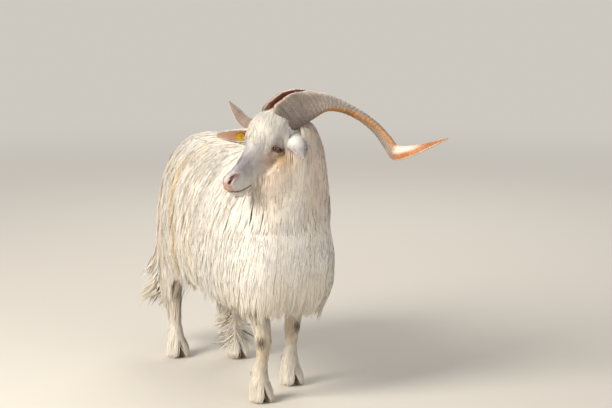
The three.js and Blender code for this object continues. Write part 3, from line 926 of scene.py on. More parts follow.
def marksAndShade(p):
    body, q = toBody(p), toHead(p)
    fold = folded(q)
    color = np.tile(paintSet["white"], (len(p), 1)).astype(float)
    # tan lower down on the coat and on the feet
    low = smooth(body[:, 2], 330, 215) * (body[:, 2] > 120)
    color = blend(color, "stainAndShade", low * 0.35)
    color = blend(color, "stainAndShade", 0.25 * smooth(body[:, 2], 150, 60))
    # tan streaks over the flank and rump, part stain and part painted shade in the folds
    bands = np.sin(body[:, 1] / 15 + 2.2 * np.sin(body[:, 1] / 47) + 0.9 * np.sin(body[:, 2] / 60)
                   + body[:, 0] / 70)
    color = blend(color, "stainAndShade", 0.80 * smooth(bands, 0.45, 1.0) * smooth(body[:, 1], -130, -20)
                  * smooth(body[:, 2], 300, 420))
    # painted shade: tan over the lower chest
    color = blend(color, "stainAndShade", 0.30 * smooth(body[:, 2], 470, 330) * smooth(body[:, 1], -150, -300))
    for name, strength, middle, reach in bodyBlots:
        color = blend(color, name, strength * blot(body, middle, reach))
    # painted warm shade on the neck's left side
    neckShade = smooth(body[:, 0], 10, 70) * smooth(body[:, 2], 480, 620) * smooth(body[:, 1], -200, -280)
    color = blend(color, "peachShade", 0.45 * neckShade)
    for name, strength, middle, reach in faceBlots:
        color = blend(color, name, strength * blot(fold, middle, reach))
    return color


# the long coat, lock by lock
class Surface:
    # nearest places on a mesh, with soft normals
    def __init__(self, mesh):
        self.spots, self.normals = spotsOf(mesh), normalsOf(mesh)
        mesh.calc_loop_triangles()
        tri = np.empty(len(mesh.loop_triangles) * 3, np.int32)
        mesh.loop_triangles.foreach_get("vertices", tri)
        self.tri = tri.reshape(-1, 3)
        self.tree = BVHTree.FromPolygons(self.spots.tolist(), self.tri.tolist(), all_triangles=True)
        a, b, c = self.corners(slice(None))
        self.area = norm(np.cross(b - a, c - a), axis=1) / 2

    def corners(self, face):
        return (self.spots[self.tri[face, k]] for k in range(3))

    def nearest(self, p):
        find = self.tree.find_nearest
        hits = [find(v) for v in p.tolist()]
        spots = np.array([h[0][:] for h in hits])
        face = np.array([h[2] for h in hits])
        return spots, self.softNormal(face, spots)

    def softNormal(self, face, spots):
        a, b, c = self.corners(face)
        whole = norm(np.cross(b - a, c - a), axis=1) + 1e-12
        wa = norm(np.cross(b - spots, c - spots), axis=1) / whole
        wb = norm(np.cross(c - spots, a - spots), axis=1) / whole
        wc = np.clip(1 - wa - wb, 0, 1)
        na, nb, nc = (self.normals[self.tri[face, k]] for k in range(3))
        return unit(na * wa[:, None] + nb * wb[:, None] + nc * wc[:, None])

    def scatter(self, spacing, weight=None):
        # spots about one spacing apart; the weight from 0 to 1 thins them
        a, b, c = self.corners(slice(None))
        middle = (a + b + c) / 3
        share = self.area * (weight(middle) if weight else 1)
        count = int(share.sum() / spacing**2 * 4.2)
        face = dice.choice(len(self.tri), count, p=share / share.sum())
        r, s = dice.random(count), dice.random(count)
        flip = r + s > 1
        r, s = np.where(flip, 1 - r, r)[:, None], np.where(flip, 1 - s, s)[:, None]
        a, b, c = self.corners(face)
        spots = a + (b - a) * r + (c - a) * s
        cell = spacing / np.cbrt(np.clip(weight(spots), 0.02, 1))[:, None] ** 1.5 if weight else spacing
        key = np.floor(spots / cell).astype(int)
        _, first = np.unique(key, axis=0, return_index=True)
        first = np.sort(first)
        return spots[first], self.softNormal(face[first], spots[first])


coatPieces = []
skinShape = Surface(skin.data)
envelope = Surface(envelopeMesh)
print("envelope", len(envelope.tri), "area", round(float(envelope.area.sum()), 2))


# long locks
def hairLength(p):
    # how long the hair grows at a place on the body, in mm
    q = toHead(p)
    (x, y, z), (_, qy, qz) = toBody(p).T, q.T
    length = np.full(len(p), 190.0)
    length = mix(length, 150, smooth(z, 660, 710))
    length = mix(length, 185, smooth(y, -300, -380))
    length = mix(length, 200, smooth(y, 380, 430) * smooth(z, 620, 560))
    length = mix(length, 150, smooth(z, 620, 740) * smooth(y, -140, -220))
    length = mix(length, 68, smooth(z, 770, 830) * smooth(y, -140, -220))
    length = mix(length, 62, smooth(z, 350, 290) * (y < 0))
    length = mix(length, np.where(x > 0, 56, 60), smooth(z, 250, 215) * (y > 0))
    cheek = mix(36.0, 92.0, smooth(qz, 200, 40) * smooth(qy, -20, -80))
    forelock = 48 * smooth(qy, -2, 16) * smooth(qz, 84, 40)
    return mix(length, np.maximum(cheek, forelock), headShare(q))


def longShare(p):
    # where the coat is long: not on the face, the ears or the lower legs
    q = toHead(p)
    (x, y, z), (qx, qy, qz) = toBody(p).T, q.T
    shank = np.where(x > 0, smooth(z, 44, 60), smooth(z, 112, 160))
    keep = np.where(y < 0, smooth(z, 262, 300), shank)
    keep = np.where((z < 330) & (y > 430), 1.0, keep)
    low = smooth(qy, -44, -56)
    inside = smooth(np.abs(qx), mix(76, 104, low), mix(66, 90, low))
    face = smooth(qz, 22, 60) * smooth(qy, -92, -62) * inside
    jaw = smooth(qz, 135, 180) * smooth(qy, -150, -110) * inside
    top = smooth(qy, 0, 12) * smooth(qz, 90, 70)
    cheek = smooth(cheekShare(q), 0.15, 0.6) * smooth(qy, -68, -96)
    keep = (keep * (1 - np.maximum(face, jaw) * (1 - np.maximum(top, cheek)))
            * (1 - smooth(eyeGap(q), 30, 22)))
    # none at the roots of the ears
    keep = keep * smooth(norm(folded(q) - (66, -38, 0), axis=1), 18, 30)
    return np.where(keep > 0.06, keep, 0)


def looseness(p):
    # where the hair stands off the body and streams: behind the right thigh, and on the left shank
    x, y, z = toBody(p).T
    behind = smooth(y, 390, 440) * smooth(z, 420, 300)
    return np.maximum(behind, smooth(z, 172, 128) * (y > 0) * (x > 0))


def flowAt(p, n):
    # the way the hair lies at a place with the outer normal n
    (x, y, z), (qx, qy, qz) = toBody(p).T, toHead(p).T
    down = np.zeros_like(p)
    down[:, 2] = -1
    middle = mix(6.0, 24.0, smooth(y, -200, -330))
    top = smooth(n[:, 2], 0.45, 0.9) * smooth(y, -330, -200)
    side = np.tanh((x - middle + 6 * np.sin(y / 31.0)) / 30)
    down[:, 0] += top * side * 0.85
    down[:, 1] += 0.16 * smooth(z, 300, 420) * smooth(y, -330, -150) + 0.45 * top
    rump = smooth(y, 330, 440) * smooth(z, 660, 560)
    down[:, 1] += 0.30 * rump
    down[:, 0] -= 0.06 * smooth(y, -200, -400)
    hock = smooth(z, 330, 240) * smooth(y, 350, 420)
    down[:, 1] += 0.75 * hock
    down[:, 0] -= 0.25 * hock
    # the plume on the left shank fans out to both sides
    plume = smooth(z, 172, 128) * (y > 0) * (x > 0)
    across = (0.80 * np.clip(((x - 80) * 0.92 - (y - 250) * 0.39) / 25, -1, 1) - 0.05)[:, None]
    down = mix(down, across * (0.92, -0.39, 0) + np.array([0, 0, -0.42]), 0.92 * plume[:, None])
    onHead = headShare(toHead(p))[:, None]
    # the cheeks' hair hangs straight down, the forelock falls towards the nose
    crest = (smooth(qy, -20, 8) * smooth(qz, -30, 0))[:, None]
    fall = np.stack([qx / 60, -0.15 + 0 * qx, 1 + 0 * qx], 1)
    hang = down @ headAxes.T + np.stack([0.12 * np.sign(qx), 0 * qx, -0.1 * smooth(qz, 60, 120)], 1)
    down = mix(unit(down), unit(mix(hang, fall, crest)) @ headAxes, onHead)
    under = smooth(n[:, 2], -0.25, -0.75)[:, None] * (1 - onHead)
    hold = mix(1.0, 0.15, under) * (1 - 0.85 * looseness(p)[:, None])
    return unit(down - n * dot(down, n) * hold)


def traceLocks(seeds, normals, length, layer, slack, early=0.42):
    # a lock passes its seed on the way from the skin to its tip
    flow = flowAt(seeds, normals)
    back = seeds - flow * (length * early)[:, None]
    root, _ = skinShape.nearest(back)
    away = root - seeds
    far = norm(away, axis=1)
    cap = np.maximum(length * 0.75, 0.012)
    root = np.where((far > cap)[:, None], seeds + away * (cap / np.maximum(far, 1e-6))[:, None], root)
    steps = int(np.ceil(length.max() / coatSet["step"]))
    loose = looseness(seeds)
    p = root.copy()
    e, n = envelope.nearest(p)
    depth = dot(e - p, n)[:, 0]
    start = depth.copy()
    path, alive = [p.copy()], [np.ones(len(p), bool)]
    stride = length / steps
    for k in range(1, steps + 1):
        share = stride * k / length
        way = flowAt(p, n)
        target = mix(start, start * (1 - layer), smooth(share, 0, 0.42))
        hang = smooth(n[:, 2], -0.2, -0.65) * smooth(share, 0.1, 0.3)
        p = p + way * stride[:, None]
        e, n = envelope.nearest(p)
        depth = dot(e - p, n)[:, 0]
        pull = np.clip((depth - target) * 0.85, -0.45 * stride, 1.1 * stride)
        p = p + n * (pull * (1 - hang) * (1 - 0.9 * loose * smooth(share, 0.15, 0.4)))[:, None]
        path.append(p.copy())
        alive.append(alive[-1] & ((depth > slack) | (k < 3)))
    path = np.stack(path, 1)
    last = np.maximum(np.stack(alive, 1).sum(1) - 1, 2)
    return path, last


def resample(path, last, rings):
    t = np.linspace(0, 1, rings)[None] * last[:, None]
    i = np.minimum(t.astype(int), path.shape[1] - 2)
    w = (t - i)[..., None]
    rows = np.arange(len(path))[:, None]
    return path[rows, i] * (1 - w) + path[rows, i + 1] * w


def clumpsOf(seeds, spacing):
    # neighbouring locks share a guide; a clump is longer than it is wide
    squeezed = seeds * (1, 1, 0.4)
    order = dice.permutation(len(seeds))
    _, first = np.unique(np.floor(squeezed[order] / spacing).astype(int), axis=0, return_index=True)
    guides = order[first]
    tree = KDTree(len(guides))
    for i, g in enumerate(squeezed[guides].tolist()):
        tree.insert(g, i)
    tree.balance()
    found = [tree.find(v) for v in squeezed.tolist()]
    near = np.array([f[1] for f in found])
    edge = np.clip(np.array([f[2] for f in found]) / spacing / 0.75, 0, 1)
    return guides, near, edge


def clump(path, guides, near, strength, reach):
    # the tips of neighbouring locks draw together
    lead = path[guides][near]
    t = np.linspace(0, 1, path.shape[1])[None, :, None]
    gap = lead - path
    far = norm(gap[:, -1], axis=1)[:, None, None]
    fade = np.clip(1.6 - far / reach, 0, 1)
    return path + gap * (t**2.1) * strength[:, None, None] * fade


def wavePaths(path, normals, group, amount):
    # soft waves, in step within a clump
    count, rings = path.shape[:2]
    steps = np.cumsum(norm(np.diff(path, axis=1), axis=2), 1)
    along = np.concatenate([np.zeros((count, 1)), steps], 1) / coatSet["waveLength"]
    side = np.cross(unit(path[:, -1] - path[:, 0]), normals)
    rng = np.random.default_rng(11)
    phase, size = rng.random(group.max() + 1)[group] * 6.28, rng.random(group.max() + 1)[group] * 0.8 + 0.4
    own = dice.normal(0, 0.5, count)
    t = np.linspace(0, 1, rings)[None]
    swing = np.sin(along * 6.28 + (phase + own)[:, None]) * amount * size[:, None] * t
    sway = np.cos(along * 5.1 + (phase * 2 + own)[:, None]) * amount * 0.5 * t
    drift = np.array(coatSet["wind"])[None, None] * (amount * 2.0 * t**2.2)[..., None]
    return path + side[:, None] * swing[..., None] + normals[:, None] * sway[..., None] + drift


# tubes of three sides: many locks in one mesh
def buildLocks(name, path, normals, width, flat, colors, unwrap, twist=0.5, tipThin=0.10):
    count, rings = path.shape[:2]
    t = np.linspace(0, 1, rings)[None]
    tangent = unit(np.gradient(path, axis=1))
    side = unit(np.cross(tangent, normals[:, None]))
    up = np.cross(side, tangent)
    turn = (dice.normal(0, twist, count)[:, None] + dice.normal(0, twist, count)[:, None] * t)[..., None]
    side, up = side * np.cos(turn) + up * np.sin(turn), up * np.cos(turn) - side * np.sin(turn)
    shape = np.minimum(1, 0.45 + 2.2 * t) * np.maximum(1 - t**2.0, 0) ** 0.8 * (1 - tipThin) + tipThin
    half = (width[:, None] * shape / 2)[..., None]
    ring = []
    for angle in (math.pi / 2, math.pi * 7 / 6, math.pi * 11 / 6):
        ring.append(path + side * half * math.cos(angle) * 1.15 + up * half * math.sin(angle) * flat)
    spots = np.stack(ring, 2).reshape(-1, 3)
    base = (np.arange(count) * rings * 3)[:, None, None]
    quads = (bandQuads(rings - 1, 3)[None] + base).reshape(-1, 4)
    end = rings * 3 - 3
    caps = np.array([[0, 1, 2], [end + 2, end + 1, end]])
    piece = addMesh(name, spots, quads, (caps[None] + base).reshape(-1, 3))
    mesh = piece.data
    # a small patch of its own for each lock, at its root's place
    size = coatSet["patch"]
    place = packCells(unwrap, size * 1.25)[:, None, None]
    k, s = np.divmod(np.arange((rings - 1) * 3), 3)
    u0, u1 = s / 3, (s + 1) / 3
    v0, v1 = k / (rings - 1) * 0.86, (k + 1) / (rings - 1) * 0.86
    quadUv = np.stack([np.stack(at, -1) for at in ((u0, v0), (u0, v1), (u1, v1), (u1, v0))], 1)
    capUv = np.array([[[0.02, 0.90], [0.45, 0.90], [0.24, 0.99]],
                      [[0.55, 0.90], [0.97, 0.90], [0.76, 0.99]]])
    addMap(mesh, "OFBake", np.vstack([(place + uv[None] * size).reshape(-1, 2) for uv in (quadUv, capUv)]))
    # a second map runs along the lock, for the hair's grain
    own = np.stack([dice.random(count) * 40, dice.random(count) * 40], -1)[:, None, None]
    ends = np.array([[[0, 0], [0.3, 0], [0.6, 0]], [[0, 1], [0.3, 1], [0.6, 1]]])
    strand = (quadUv * (1, 1 / 0.86), ends)
    addMap(mesh, "strand", np.vstack([(uv[None] + own).reshape(-1, 2) for uv in strand]))
    paintPoints(mesh, "tint", np.repeat(colors, 3, axis=1).reshape(-1, 3))
    # the light falls on a lock partly as it falls on the body under it
    soft = np.repeat(normals, rings * 3, axis=0)
    own = normalsOf(mesh)
    share = coatSet["soften"] * (1 - 0.55 * np.repeat(looseness(path[:, 0]), rings * 3))[:, None]
    mesh.normals_split_custom_set_from_vertices(unit(mix(own, soft, share)).tolist())
    return piece


def packCells(unwrap, cell):
    # each lock takes the free cell nearest its own place
    span = unwrap.max(0) - unwrap.min(0)
    at = (unwrap - unwrap.min(0)) / np.maximum(span, 1e-9)
    many = int(0.99 / cell)
    want = np.clip((at * (many - 1)).round().astype(int), 0, many - 1)
    taken = set()
    steps = range(-24, 25)
    spiral = sorted(((i, j) for i in steps for j in steps), key=lambda c: c[0] ** 2 + c[1] ** 2)
    place = np.empty_like(at)
    for row, (i, j) in enumerate(want.tolist()):
        for di, dj in spiral:
            spot = (i + di, j + dj)
            if spot not in taken and 0 <= spot[0] < many and 0 <= spot[1] < many:
                break
        taken.add(spot)
        place[row] = spot
    return place * cell + 0.004


def wrapPlace(p):
    # an unwrap of the body: round the trunk, neck or leg that a root is on, and along it
    body = toBody(p)
    x, y, z = body.T
    onLeg = z < 262
    angle = np.arctan2(z - 440, x - 4)
    place = np.stack([angle / 6.3 + 0.5, (y + 460) / 1000], 1)
    neck = (y < -200) & (z > 470)
    turnNeck = np.arctan2(y + 300, x - 25) / 6.3 + 0.5
    place = np.where(neck[:, None], np.stack([turnNeck, (z - 200) / 700], 1), place)
    for fx, fy in (*feet["fore"], *feet["hind"]):
        near = onLeg & (np.hypot(x - fx, y - fy) < 120)
        spin = np.arctan2(y - fy, x - fx) / 6.3 + 0.5
        place = np.where(near[:, None], np.stack([spin, z / 262], 1), place)
    return place


def regionOf(p):
    body, q = toBody(p), toHead(p)
    x, y, z = body.T
    name = np.full(len(p), "coatLoinLeft", dtype=object)
    name[x < 4] = "coatLoinRight"
    name[(y > 225) & (x >= 4)] = "coatRumpLeft"
    name[(y > 225) & (x < 4)] = "coatRumpRight"
    name[(y < -40) & (x >= 4)] = "coatShoulderLeft"
    name[(y < -40) & (x < 4)] = "coatShoulderRight"
    name[(z > 560) & (y < -190)] = "coatNeck"
    name[(z <= 560) & (y < -345)] = "coatChest"
    name[(headShare(q) > 0.4)] = "coatHead"
    return name


def lockColors(seeds, length, under, gapStainAndShade, t):
    # painted shade: darker and warmer at the roots and on the locks underneath; rust-tan here and there at
    # random, and rust-tan streaks between the clumps, part stain and part painted shade
    white, warm, deep = (np.array(paintSet[k]) for k in ("white", "stainAndShade", "deep"))
    count = len(seeds)
    stainAndGapShade = 0.30 * dice.beta(1.2, 6.0, count)
    stainAndGapShade += mix(0.35, 0.8, smooth(toBody(seeds)[:, 1], -120, 240)) * gapStainAndShade * smooth(length, 0.05, 0.1)
    base = marksAndShade(seeds) * (1 + dice.normal(0, 0.022, (count, 1)))
    base = base * (1 + (warm / white - 1) * np.clip(stainAndGapShade, 0, 1)[:, None])
    # painted shade at the roots and on the under locks
    lockShade = (0.28 * under)[:, None, None] + 0.30 * (1 - smooth(t, 0.0, 0.35))
    return np.clip(base[:, None] * (1 + (deep / white - 1) * np.clip(lockShade, 0, 1)), 0, 0.95)


def growLocks(spacing, share, finer):
    seeds, normals = envelope.scatter(spacing, share)
    keep = share(seeds) > 0
    seeds, normals = seeds[keep], normals[keep]
    count, body = len(seeds), toBody(seeds)
    onHead, loose = headShare(toHead(seeds)), looseness(seeds)
    guides, group, edge = clumpsOf(seeds, coatSet["guideSpacing"] * finer)
    fineGuides, fineGroup, _ = clumpsOf(seeds, coatSet["guideSpacing"] * finer * 0.42)
    rng = np.random.default_rng(5)
    reach, gapStainAndShade = rng.random(group.max() + 1)[group], rng.beta(1.0, 2.2, group.max() + 1)[group]
    length = hairLength(seeds) / 1000 * dice.uniform(0.80, 1.08, count) * mix(0.92, 1.10, reach)
    # wide locks underneath fill the coat, fine ones lie over them
    hollow = blot(body, (-45, -395, 640), (55, 60, 90))
    under = dice.random(count) < coatSet["underShare"] + 0.3 * hollow
    layer = np.where(under, *(dice.uniform(*coatSet[key], count) for key in ("underLayer", "layer")))
    calm = mix(1.0, 0.35, smooth(body[:, 2], 430, 560) * smooth(body[:, 1], -120, -220))
    calm = calm * mix(1.0, 0.3, onHead) * (1 - 0.8 * hollow)
    groove = coatSet["groove"] * calm * edge**2 * smooth(length, 0.05, 0.09)
    layer = np.where(under, layer, 1 + (layer - 1) * calm) - groove
    fringe = mix(*coatSet["fringe"], reach**1.5 * dice.random(count) ** 0.5)
    path, last = traceLocks(seeds, normals, length, layer, -fringe - 0.045 * onHead - 0.06 * loose)
    path = resample(path, last, coatSet["rings"])
    # none may pass over an eye or the root of an ear
    q = folded(toHead(path.reshape(-1, 3)).reshape(path.shape))
    hidden = norm(q - eyeHome, axis=2).min(1) < coatSet["clearEye"]
    hidden |= norm(q - (66, -36, 2), axis=2).min(1) < coatSet["clearEar"]
    hanging = smooth(body[:, 2], 430, 290)
    strength = dice.uniform(*coatSet["clump"], count) * mix(1.0, 1.9, hanging)
    strength = strength * mix(1.0, 0.4, onHead) * mix(1.0, 0.3, loose)
    path = clump(path, guides, group, strength * 0.7, 0.06)
    path = clump(path, fineGuides, fineGroup, strength * mix(0.35, 1.0, hanging), 0.03)
    near = [envelope.nearest(path[:, k])[1] for k in (1, 2, 4)]
    n = unit(near[0] + near[1] + near[2])
    path = wavePaths(path, n, group, (coatSet["wave"] * np.clip(length / 0.1, 0.2, 1.5))[:, None])
    t = np.linspace(0, 1, coatSet["rings"])[None, :, None]
    path = path + dice.normal(0, 1, (count, 1, 3)) * (coatSet["spray"] * loose)[:, None, None] * t**2
    path[..., 2] = np.maximum(path[..., 2], coatSet["offFloor"])
    # tan strongest at the clumps' edges: stain and painted shade between the clumps
    colors = lockColors(seeds, length, under, gapStainAndShade * edge**2, t)
    width = np.where(under, *(dice.uniform(*coatSet[key], count) for key in ("underWidth", "width")))
    width = width * (mix(1.0, 0.72, onHead) * mix(1.0, 1.5, loose)) * np.clip(length / 0.12, 0.42, 1.15)
    return tuple(values[~hidden] for values in (seeds, path, n, width, colors))


def makeLongCoat():
    onHead = lambda p: headShare(toHead(p)) > 0.4
    grown = [
        growLocks(coatSet["spacing"], lambda p: longShare(p) * ~onHead(p), 1.0),
        growLocks(coatSet["headSpacing"], lambda p: longShare(p) * onHead(p), 0.6),
    ]
    seeds, path, n, width, colors = (np.concatenate(parts) for parts in zip(*grown))
    names, unwrap = regionOf(seeds), wrapPlace(seeds)
    print("long locks", len(seeds))
    for name in sorted(set(names)):
        pick = names == name
        many = int(pick.sum())
        print(" ", name, many, "locks", many * (coatSet["rings"] * 6 - 4), "triangles")
        coatPieces.append(buildLocks(name, path[pick], n[pick], width[pick], coatSet["flat"], colors[pick],
                                     unwrap[pick], coatSet["twist"]))


makeLongCoat()


# short hair where it breaks the form: face, ears and lower legs
tuftSet = {
    "faceSpacing": 0.0032, "legSpacing": 0.0048, "ears": 3400,
    "faceLength": (0.008, 0.013), "legLength": (0.011, 0.018), "earLength": (0.007, 0.011),
    "width": (0.0013, 0.0021), "lift": 0.22,
    "feet": 900, "footWidth": (0.0017, 0.0030), "footTop": (30, 62), "footTip": (3, 15),
}


def keepOff(q):
    # bare places: the eyes, the lips, the nostrils and the nose between them
    fold = folded(q)
    _, qy, qz = q.T
    home, _, long, up = eyeFrame(1)
    d = fold - home
    spread = np.hypot((d @ long - 2) / 22.5, d @ up / 11.5)
    keep = smooth(spread, 0.95, 1.15)
    mouth, _ = toPath(q[:, 1:], faceSet["mouth"])
    keep = keep * np.where(qz > 190, smooth(mouth, 2.0, 4.5), 1)
    slit, _ = toPath(fold, faceSet["nostril"])
    keep = keep * smooth(slit, 5.5, 9.5)
    pad = smooth(qz, 243, 250) * smooth(qy, -24, -14) * smooth(qy, 16, 8)
    return keep * (1 - pad)


def shortShare(p):
    body, q = toBody(p), toHead(p)
    onFace = headShare(q) * (1 - smooth(longShare(p), 0.5, 1.0) * 0.7) * keepOff(q)
    onFace = onFace * (q[:, 2] > -30)
    # on the legs, not on the belly between them
    x, y, z = body.T
    upper = smooth(z, 330, 285) * (np.hypot(np.abs(x) - 97, y + 255) < 62)
    onLeg = np.maximum(smooth(z, 265, 225), upper) * smooth(z, 32, 38)
    return np.clip(np.maximum(onFace, onLeg), 0, 1) * (np.maximum(onFace, onLeg) > 0.05)


def shortFlow(p, n):
    q = toHead(p)
    qx, qy, qz = q.T
    side = np.sign(qx)
    down = smooth(np.abs(qx), 12, 34) * smooth(qy, 20, -30)
    lie = np.stack([side * 0.25, mix(0.0, -0.8, down), mix(0.9, -0.25, down)], 1)
    # the cheeks' hair hangs
    hang = (smooth(qy, -45, -80) * smooth(qz, 190, 140))[:, None]
    lie = mix(unit(lie), np.stack([side * 0.12, -0.76 + 0 * side, 0.55 + 0 * side], 1), hang)
    # round the muzzle it lies back from the nose, and it fans out round the eyes
    muzzle = smooth(qz, 170, 215)[:, None]
    lie = mix(lie, np.stack([side * 0.3, -0.2 * np.ones(len(q)), -0.9 * np.ones(len(q))], 1), muzzle)
    fold = q - eyeHome * np.stack([side, np.ones(len(q)), np.ones(len(q))], 1)
    away = unit(fold) * np.exp(-((norm(fold, axis=1) / 26) ** 2))[:, None]
    lie = unit(lie) + 1.7 * away
    leg = np.tile((0.0, 0.08, -1.0), (len(p), 1))
    way = mix(leg, unit(lie) @ headAxes, headShare(q)[:, None])
    return unit(way - n * dot(way, n))


def tuftPaths(roots, normals, way, length, lift):
    # a short tuft rises from the skin and lies over
    t = np.linspace(0, 1, 3)[None, :, None]
    out = normals[:, None] * (lift[:, None, None] * (t - 0.45 * t * t) - 0.06 * (1 - t))
    return roots[:, None] + (way[:, None] * t + out) * length[:, None, None]


def makeTufts(name, roots, normals, way, length, unwrap, lift=None, tint=None, body=None, slim=1.0):
    count = len(roots)
    lift = dice.uniform(0.6, 1.5, count) * tuftSet["lift"] if lift is None else lift
    way = unit(way + dice.normal(0, 0.10, (count, 3)))
    path = tuftPaths(roots, normals, way, length, lift)
    if body:
        for k, top in ((1, 0.0022), (2, 0.0034)):
            spot, n = body.nearest(path[:, k])
            high = dot(path[:, k] - spot, n)
            path[:, k] += n * (np.clip(high, 0.0009, top) - high)
    base = marksAndShade(roots) if tint is None else tint
    _, group, _ = clumpsOf(roots, 0.011)
    base = base * (1 + dice.normal(0, 0.06, (count, 1)))
    base = base * (1 + dice.normal(0, 0.10, group.max() + 1)[group])[:, None]
    t = np.linspace(0, 1, 3)[None, :, None]
    # painted shade: each tuft darker at its root than at its tip
    colors = np.clip(base[:, None] * mix(0.86, 1.03, t), 0, 0.9)
    width = dice.uniform(*tuftSet["width"], count) * np.clip(length / 0.011, 0.6, 1.3) * slim
    print(" ", name, count, "tufts", count * 14, "triangles")
    coatPieces.append(buildLocks(name, path, normals, width, 0.5, colors, unwrap, twist=0.3, tipThin=0.12))


def makeShortCoat():
    body = Surface(skinBodyMesh())
    roots, normals = body.scatter(tuftSet["faceSpacing"], lambda p: shortShare(p) * (toBody(p)[:, 2] > 400))
    q = toHead(roots)
    length = dice.uniform(*tuftSet["faceLength"], len(roots))
    x, y, z = q.T
    cheek = smooth(z, 190, 90) * smooth(y, -42, -92)
    length = length * mix(1.0, 0.62, smooth(z, 175, 225)) * mix(1.0, 3.0, cheek)
    length = length * mix(0.55, 1.0, smooth(eyeGap(q), 24, 36))
    unwrap = np.stack([np.arctan2(x, y + 30) / 6.3, z / 320], 1)
    makeTufts("coatFace", roots, normals, shortFlow(roots, normals), length, unwrap, body=body)
    roots, normals = body.scatter(tuftSet["legSpacing"], lambda p: shortShare(p) * (toBody(p)[:, 2] < 335))
    z = toBody(roots)[:, 2]
    length = (dice.uniform(*tuftSet["legLength"], len(roots)) * mix(1.0, 1.5, smooth(z, 190, 240))
              * mix(1.0, 1.5, smooth(z, 70, 45)))
    makeTufts("coatLegs", roots, normals, shortFlow(roots, normals), length, wrapPlace(roots), body=body)


def makeFeetCoat():
    # the hair over each foot swells out and hangs down over the hooves, parted at the cleft
    places, ways = [], []
    for x, y in (*feet["fore"], *feet["hind"]):
        count = tuftSet["feet"]
        spin = dice.uniform(-math.pi, math.pi, count)
        spin = spin[(np.abs(spin) > 0.16) | (dice.random(count) < 0.25)]
        count = len(spin)
        top, tip = dice.uniform(*tuftSet["footTop"], count), dice.uniform(*tuftSet["footTip"], count)
        parted = spin + np.sign(spin) * 0.20 * np.exp(-((spin / 0.35) ** 2))
        t = np.linspace(0, 1, 5)[None]
        turn = mix(spin[:, None], parted[:, None], t)
        front = np.clip(np.cos(turn), 0, 1)
        upper = mix(27.0, 30.0, front) + 0 * t
        lower = mix(33.0, 51.0, front**1.5) * (1 - 0.10 * (np.cos(turn) < 0))
        swell = (dice.uniform(1.0, 6.0, count)[:, None] * np.sin(math.pi * np.clip(t * 1.1, 0, 1))
                 + dice.uniform(-1, 2.5, count)[:, None] * t)
        reach = mix(upper, lower, t**1.2) + swell - 3 * (1 - t) ** 2
        z = mix(top[:, None], tip[:, None], t)
        places.append(np.stack([x + reach * np.sin(turn), y - 9 - reach * np.cos(turn), z], -1))
        ways.append(np.stack([np.sin(spin), -np.cos(spin), 0.25 + 0 * spin], -1))
    path, normals = fromBody(np.concatenate(places)), unit(np.concatenate(ways))
    count = len(path)
    roots = path[:, 0]
    t = np.linspace(0, 1, 5)[None, :, None]
    base = marksAndShade(roots) * (1 + dice.normal(0, 0.03, (count, 1)))
    # painted shade: each tuft darker at its root than at its tip
    colors = np.clip(base[:, None] * mix(0.92, 1.03, t), 0, 0.92)
    width = dice.uniform(*tuftSet["footWidth"], count)
    print("  coatFeet", count, "tufts", count * 26, "triangles")
    coatPieces.append(buildLocks("coatFeet", path, normals, width, 0.3, colors, wrapPlace(roots),
                                 twist=0.15, tipThin=0.1))


def skinBodyMesh():
    mesh = skin.data.copy()
    bm = bmesh.new()
    bm.from_mesh(mesh)
    bm.verts.ensure_lookup_table()
    bmesh.ops.delete(bm, geom=bm.verts[bodyCount:], context="VERTS")
    bm.to_mesh(mesh)
    bm.free()
    mesh.update()
    return mesh


def makeEarCoat():
    for side in ("left", "right"):
        count = tuftSet["ears"]
        u = dice.random(count) ** 0.9 * 0.93 + 0.02
        a = np.clip(dice.uniform(-1.06, 1.06, count), -0.985, 0.985)
        outer = dice.random(count) < 0.66
        # inside, hair grows mostly near the rims
        keep = outer | (np.abs(a) > 0.62) | (dice.random(count) < 0.12)
        u, a, outer = u[keep], a[keep], outer[keep]
        lift = np.where(outer, 1, -1) * earSet["thick"] * 0.5 * np.sqrt(np.maximum(1 - a * a, 0)) ** 0.5
        here = earPlace(side, u, a, lift)
        ahead = earPlace(side, u + 0.02, a, lift)
        outward = earPlace(side, u, a, lift + np.where(outer, 1.0, -1.0)) - here
        rim = smooth(np.abs(a), 0.86, 0.985)[:, None] * np.sign(a)[:, None]
        across = unit(earPlace(side, u, a + 0.01, lift) - here)
        n = unit(unit(outward) + across * rim * 1.5)
        way = unit(unit(ahead - here) + across * a[:, None] * 0.45)
        way = unit(way - n * dot(way, n) * 0.9)
        length = dice.uniform(*tuftSet["earLength"], len(u)) * mix(1.0, 0.55, smooth(u, 0.7, 0.95))
        tint = earColors(side, u, a, outer)
        unwrap = np.stack([a * 0.25 + np.where(outer, 0.7, 0.2), u], 1)
        toWorld = lambda v: unit(v @ headAxes)
        name = "coatEar" + side.capitalize()
        makeTufts(name, fromHead(here), toWorld(n), toWorld(way), length, unwrap,
                  dice.uniform(0.04, 0.13, len(u)), tint, slim=0.7)


def earColors(side, u, a, outer):
    color = np.tile(paintSet["white"], (len(u), 1)).astype(float)
    inside = (~outer) * smooth(np.abs(a), 1.0, 0.72)
    # inside: pink skin with a painted glow of light shining through, strongest towards the root
    color = blend(color, "earInsideAndGlow", inside * mix(0.95, 0.6, smooth(u, 0.5, 1.0)))
    color = blend(color, "flesh", inside * 0.5 * smooth(u, 0.35, 0.05))
    # painted shadow at the root of the left ear
    color = blend(color, "earRootShadow", 0.35 * outer * smooth(u, 0.16, 0.02) * (side == "left"))
    # painted shade over the middle of the left ear's outer face, leaving its rims white
    color = blend(color, "mauveShade", 0.6 * outer * smooth(np.abs(a), 0.93, 0.8) * smooth(u, 0.25, 0.75)
                  * (side == "left"))
    return color


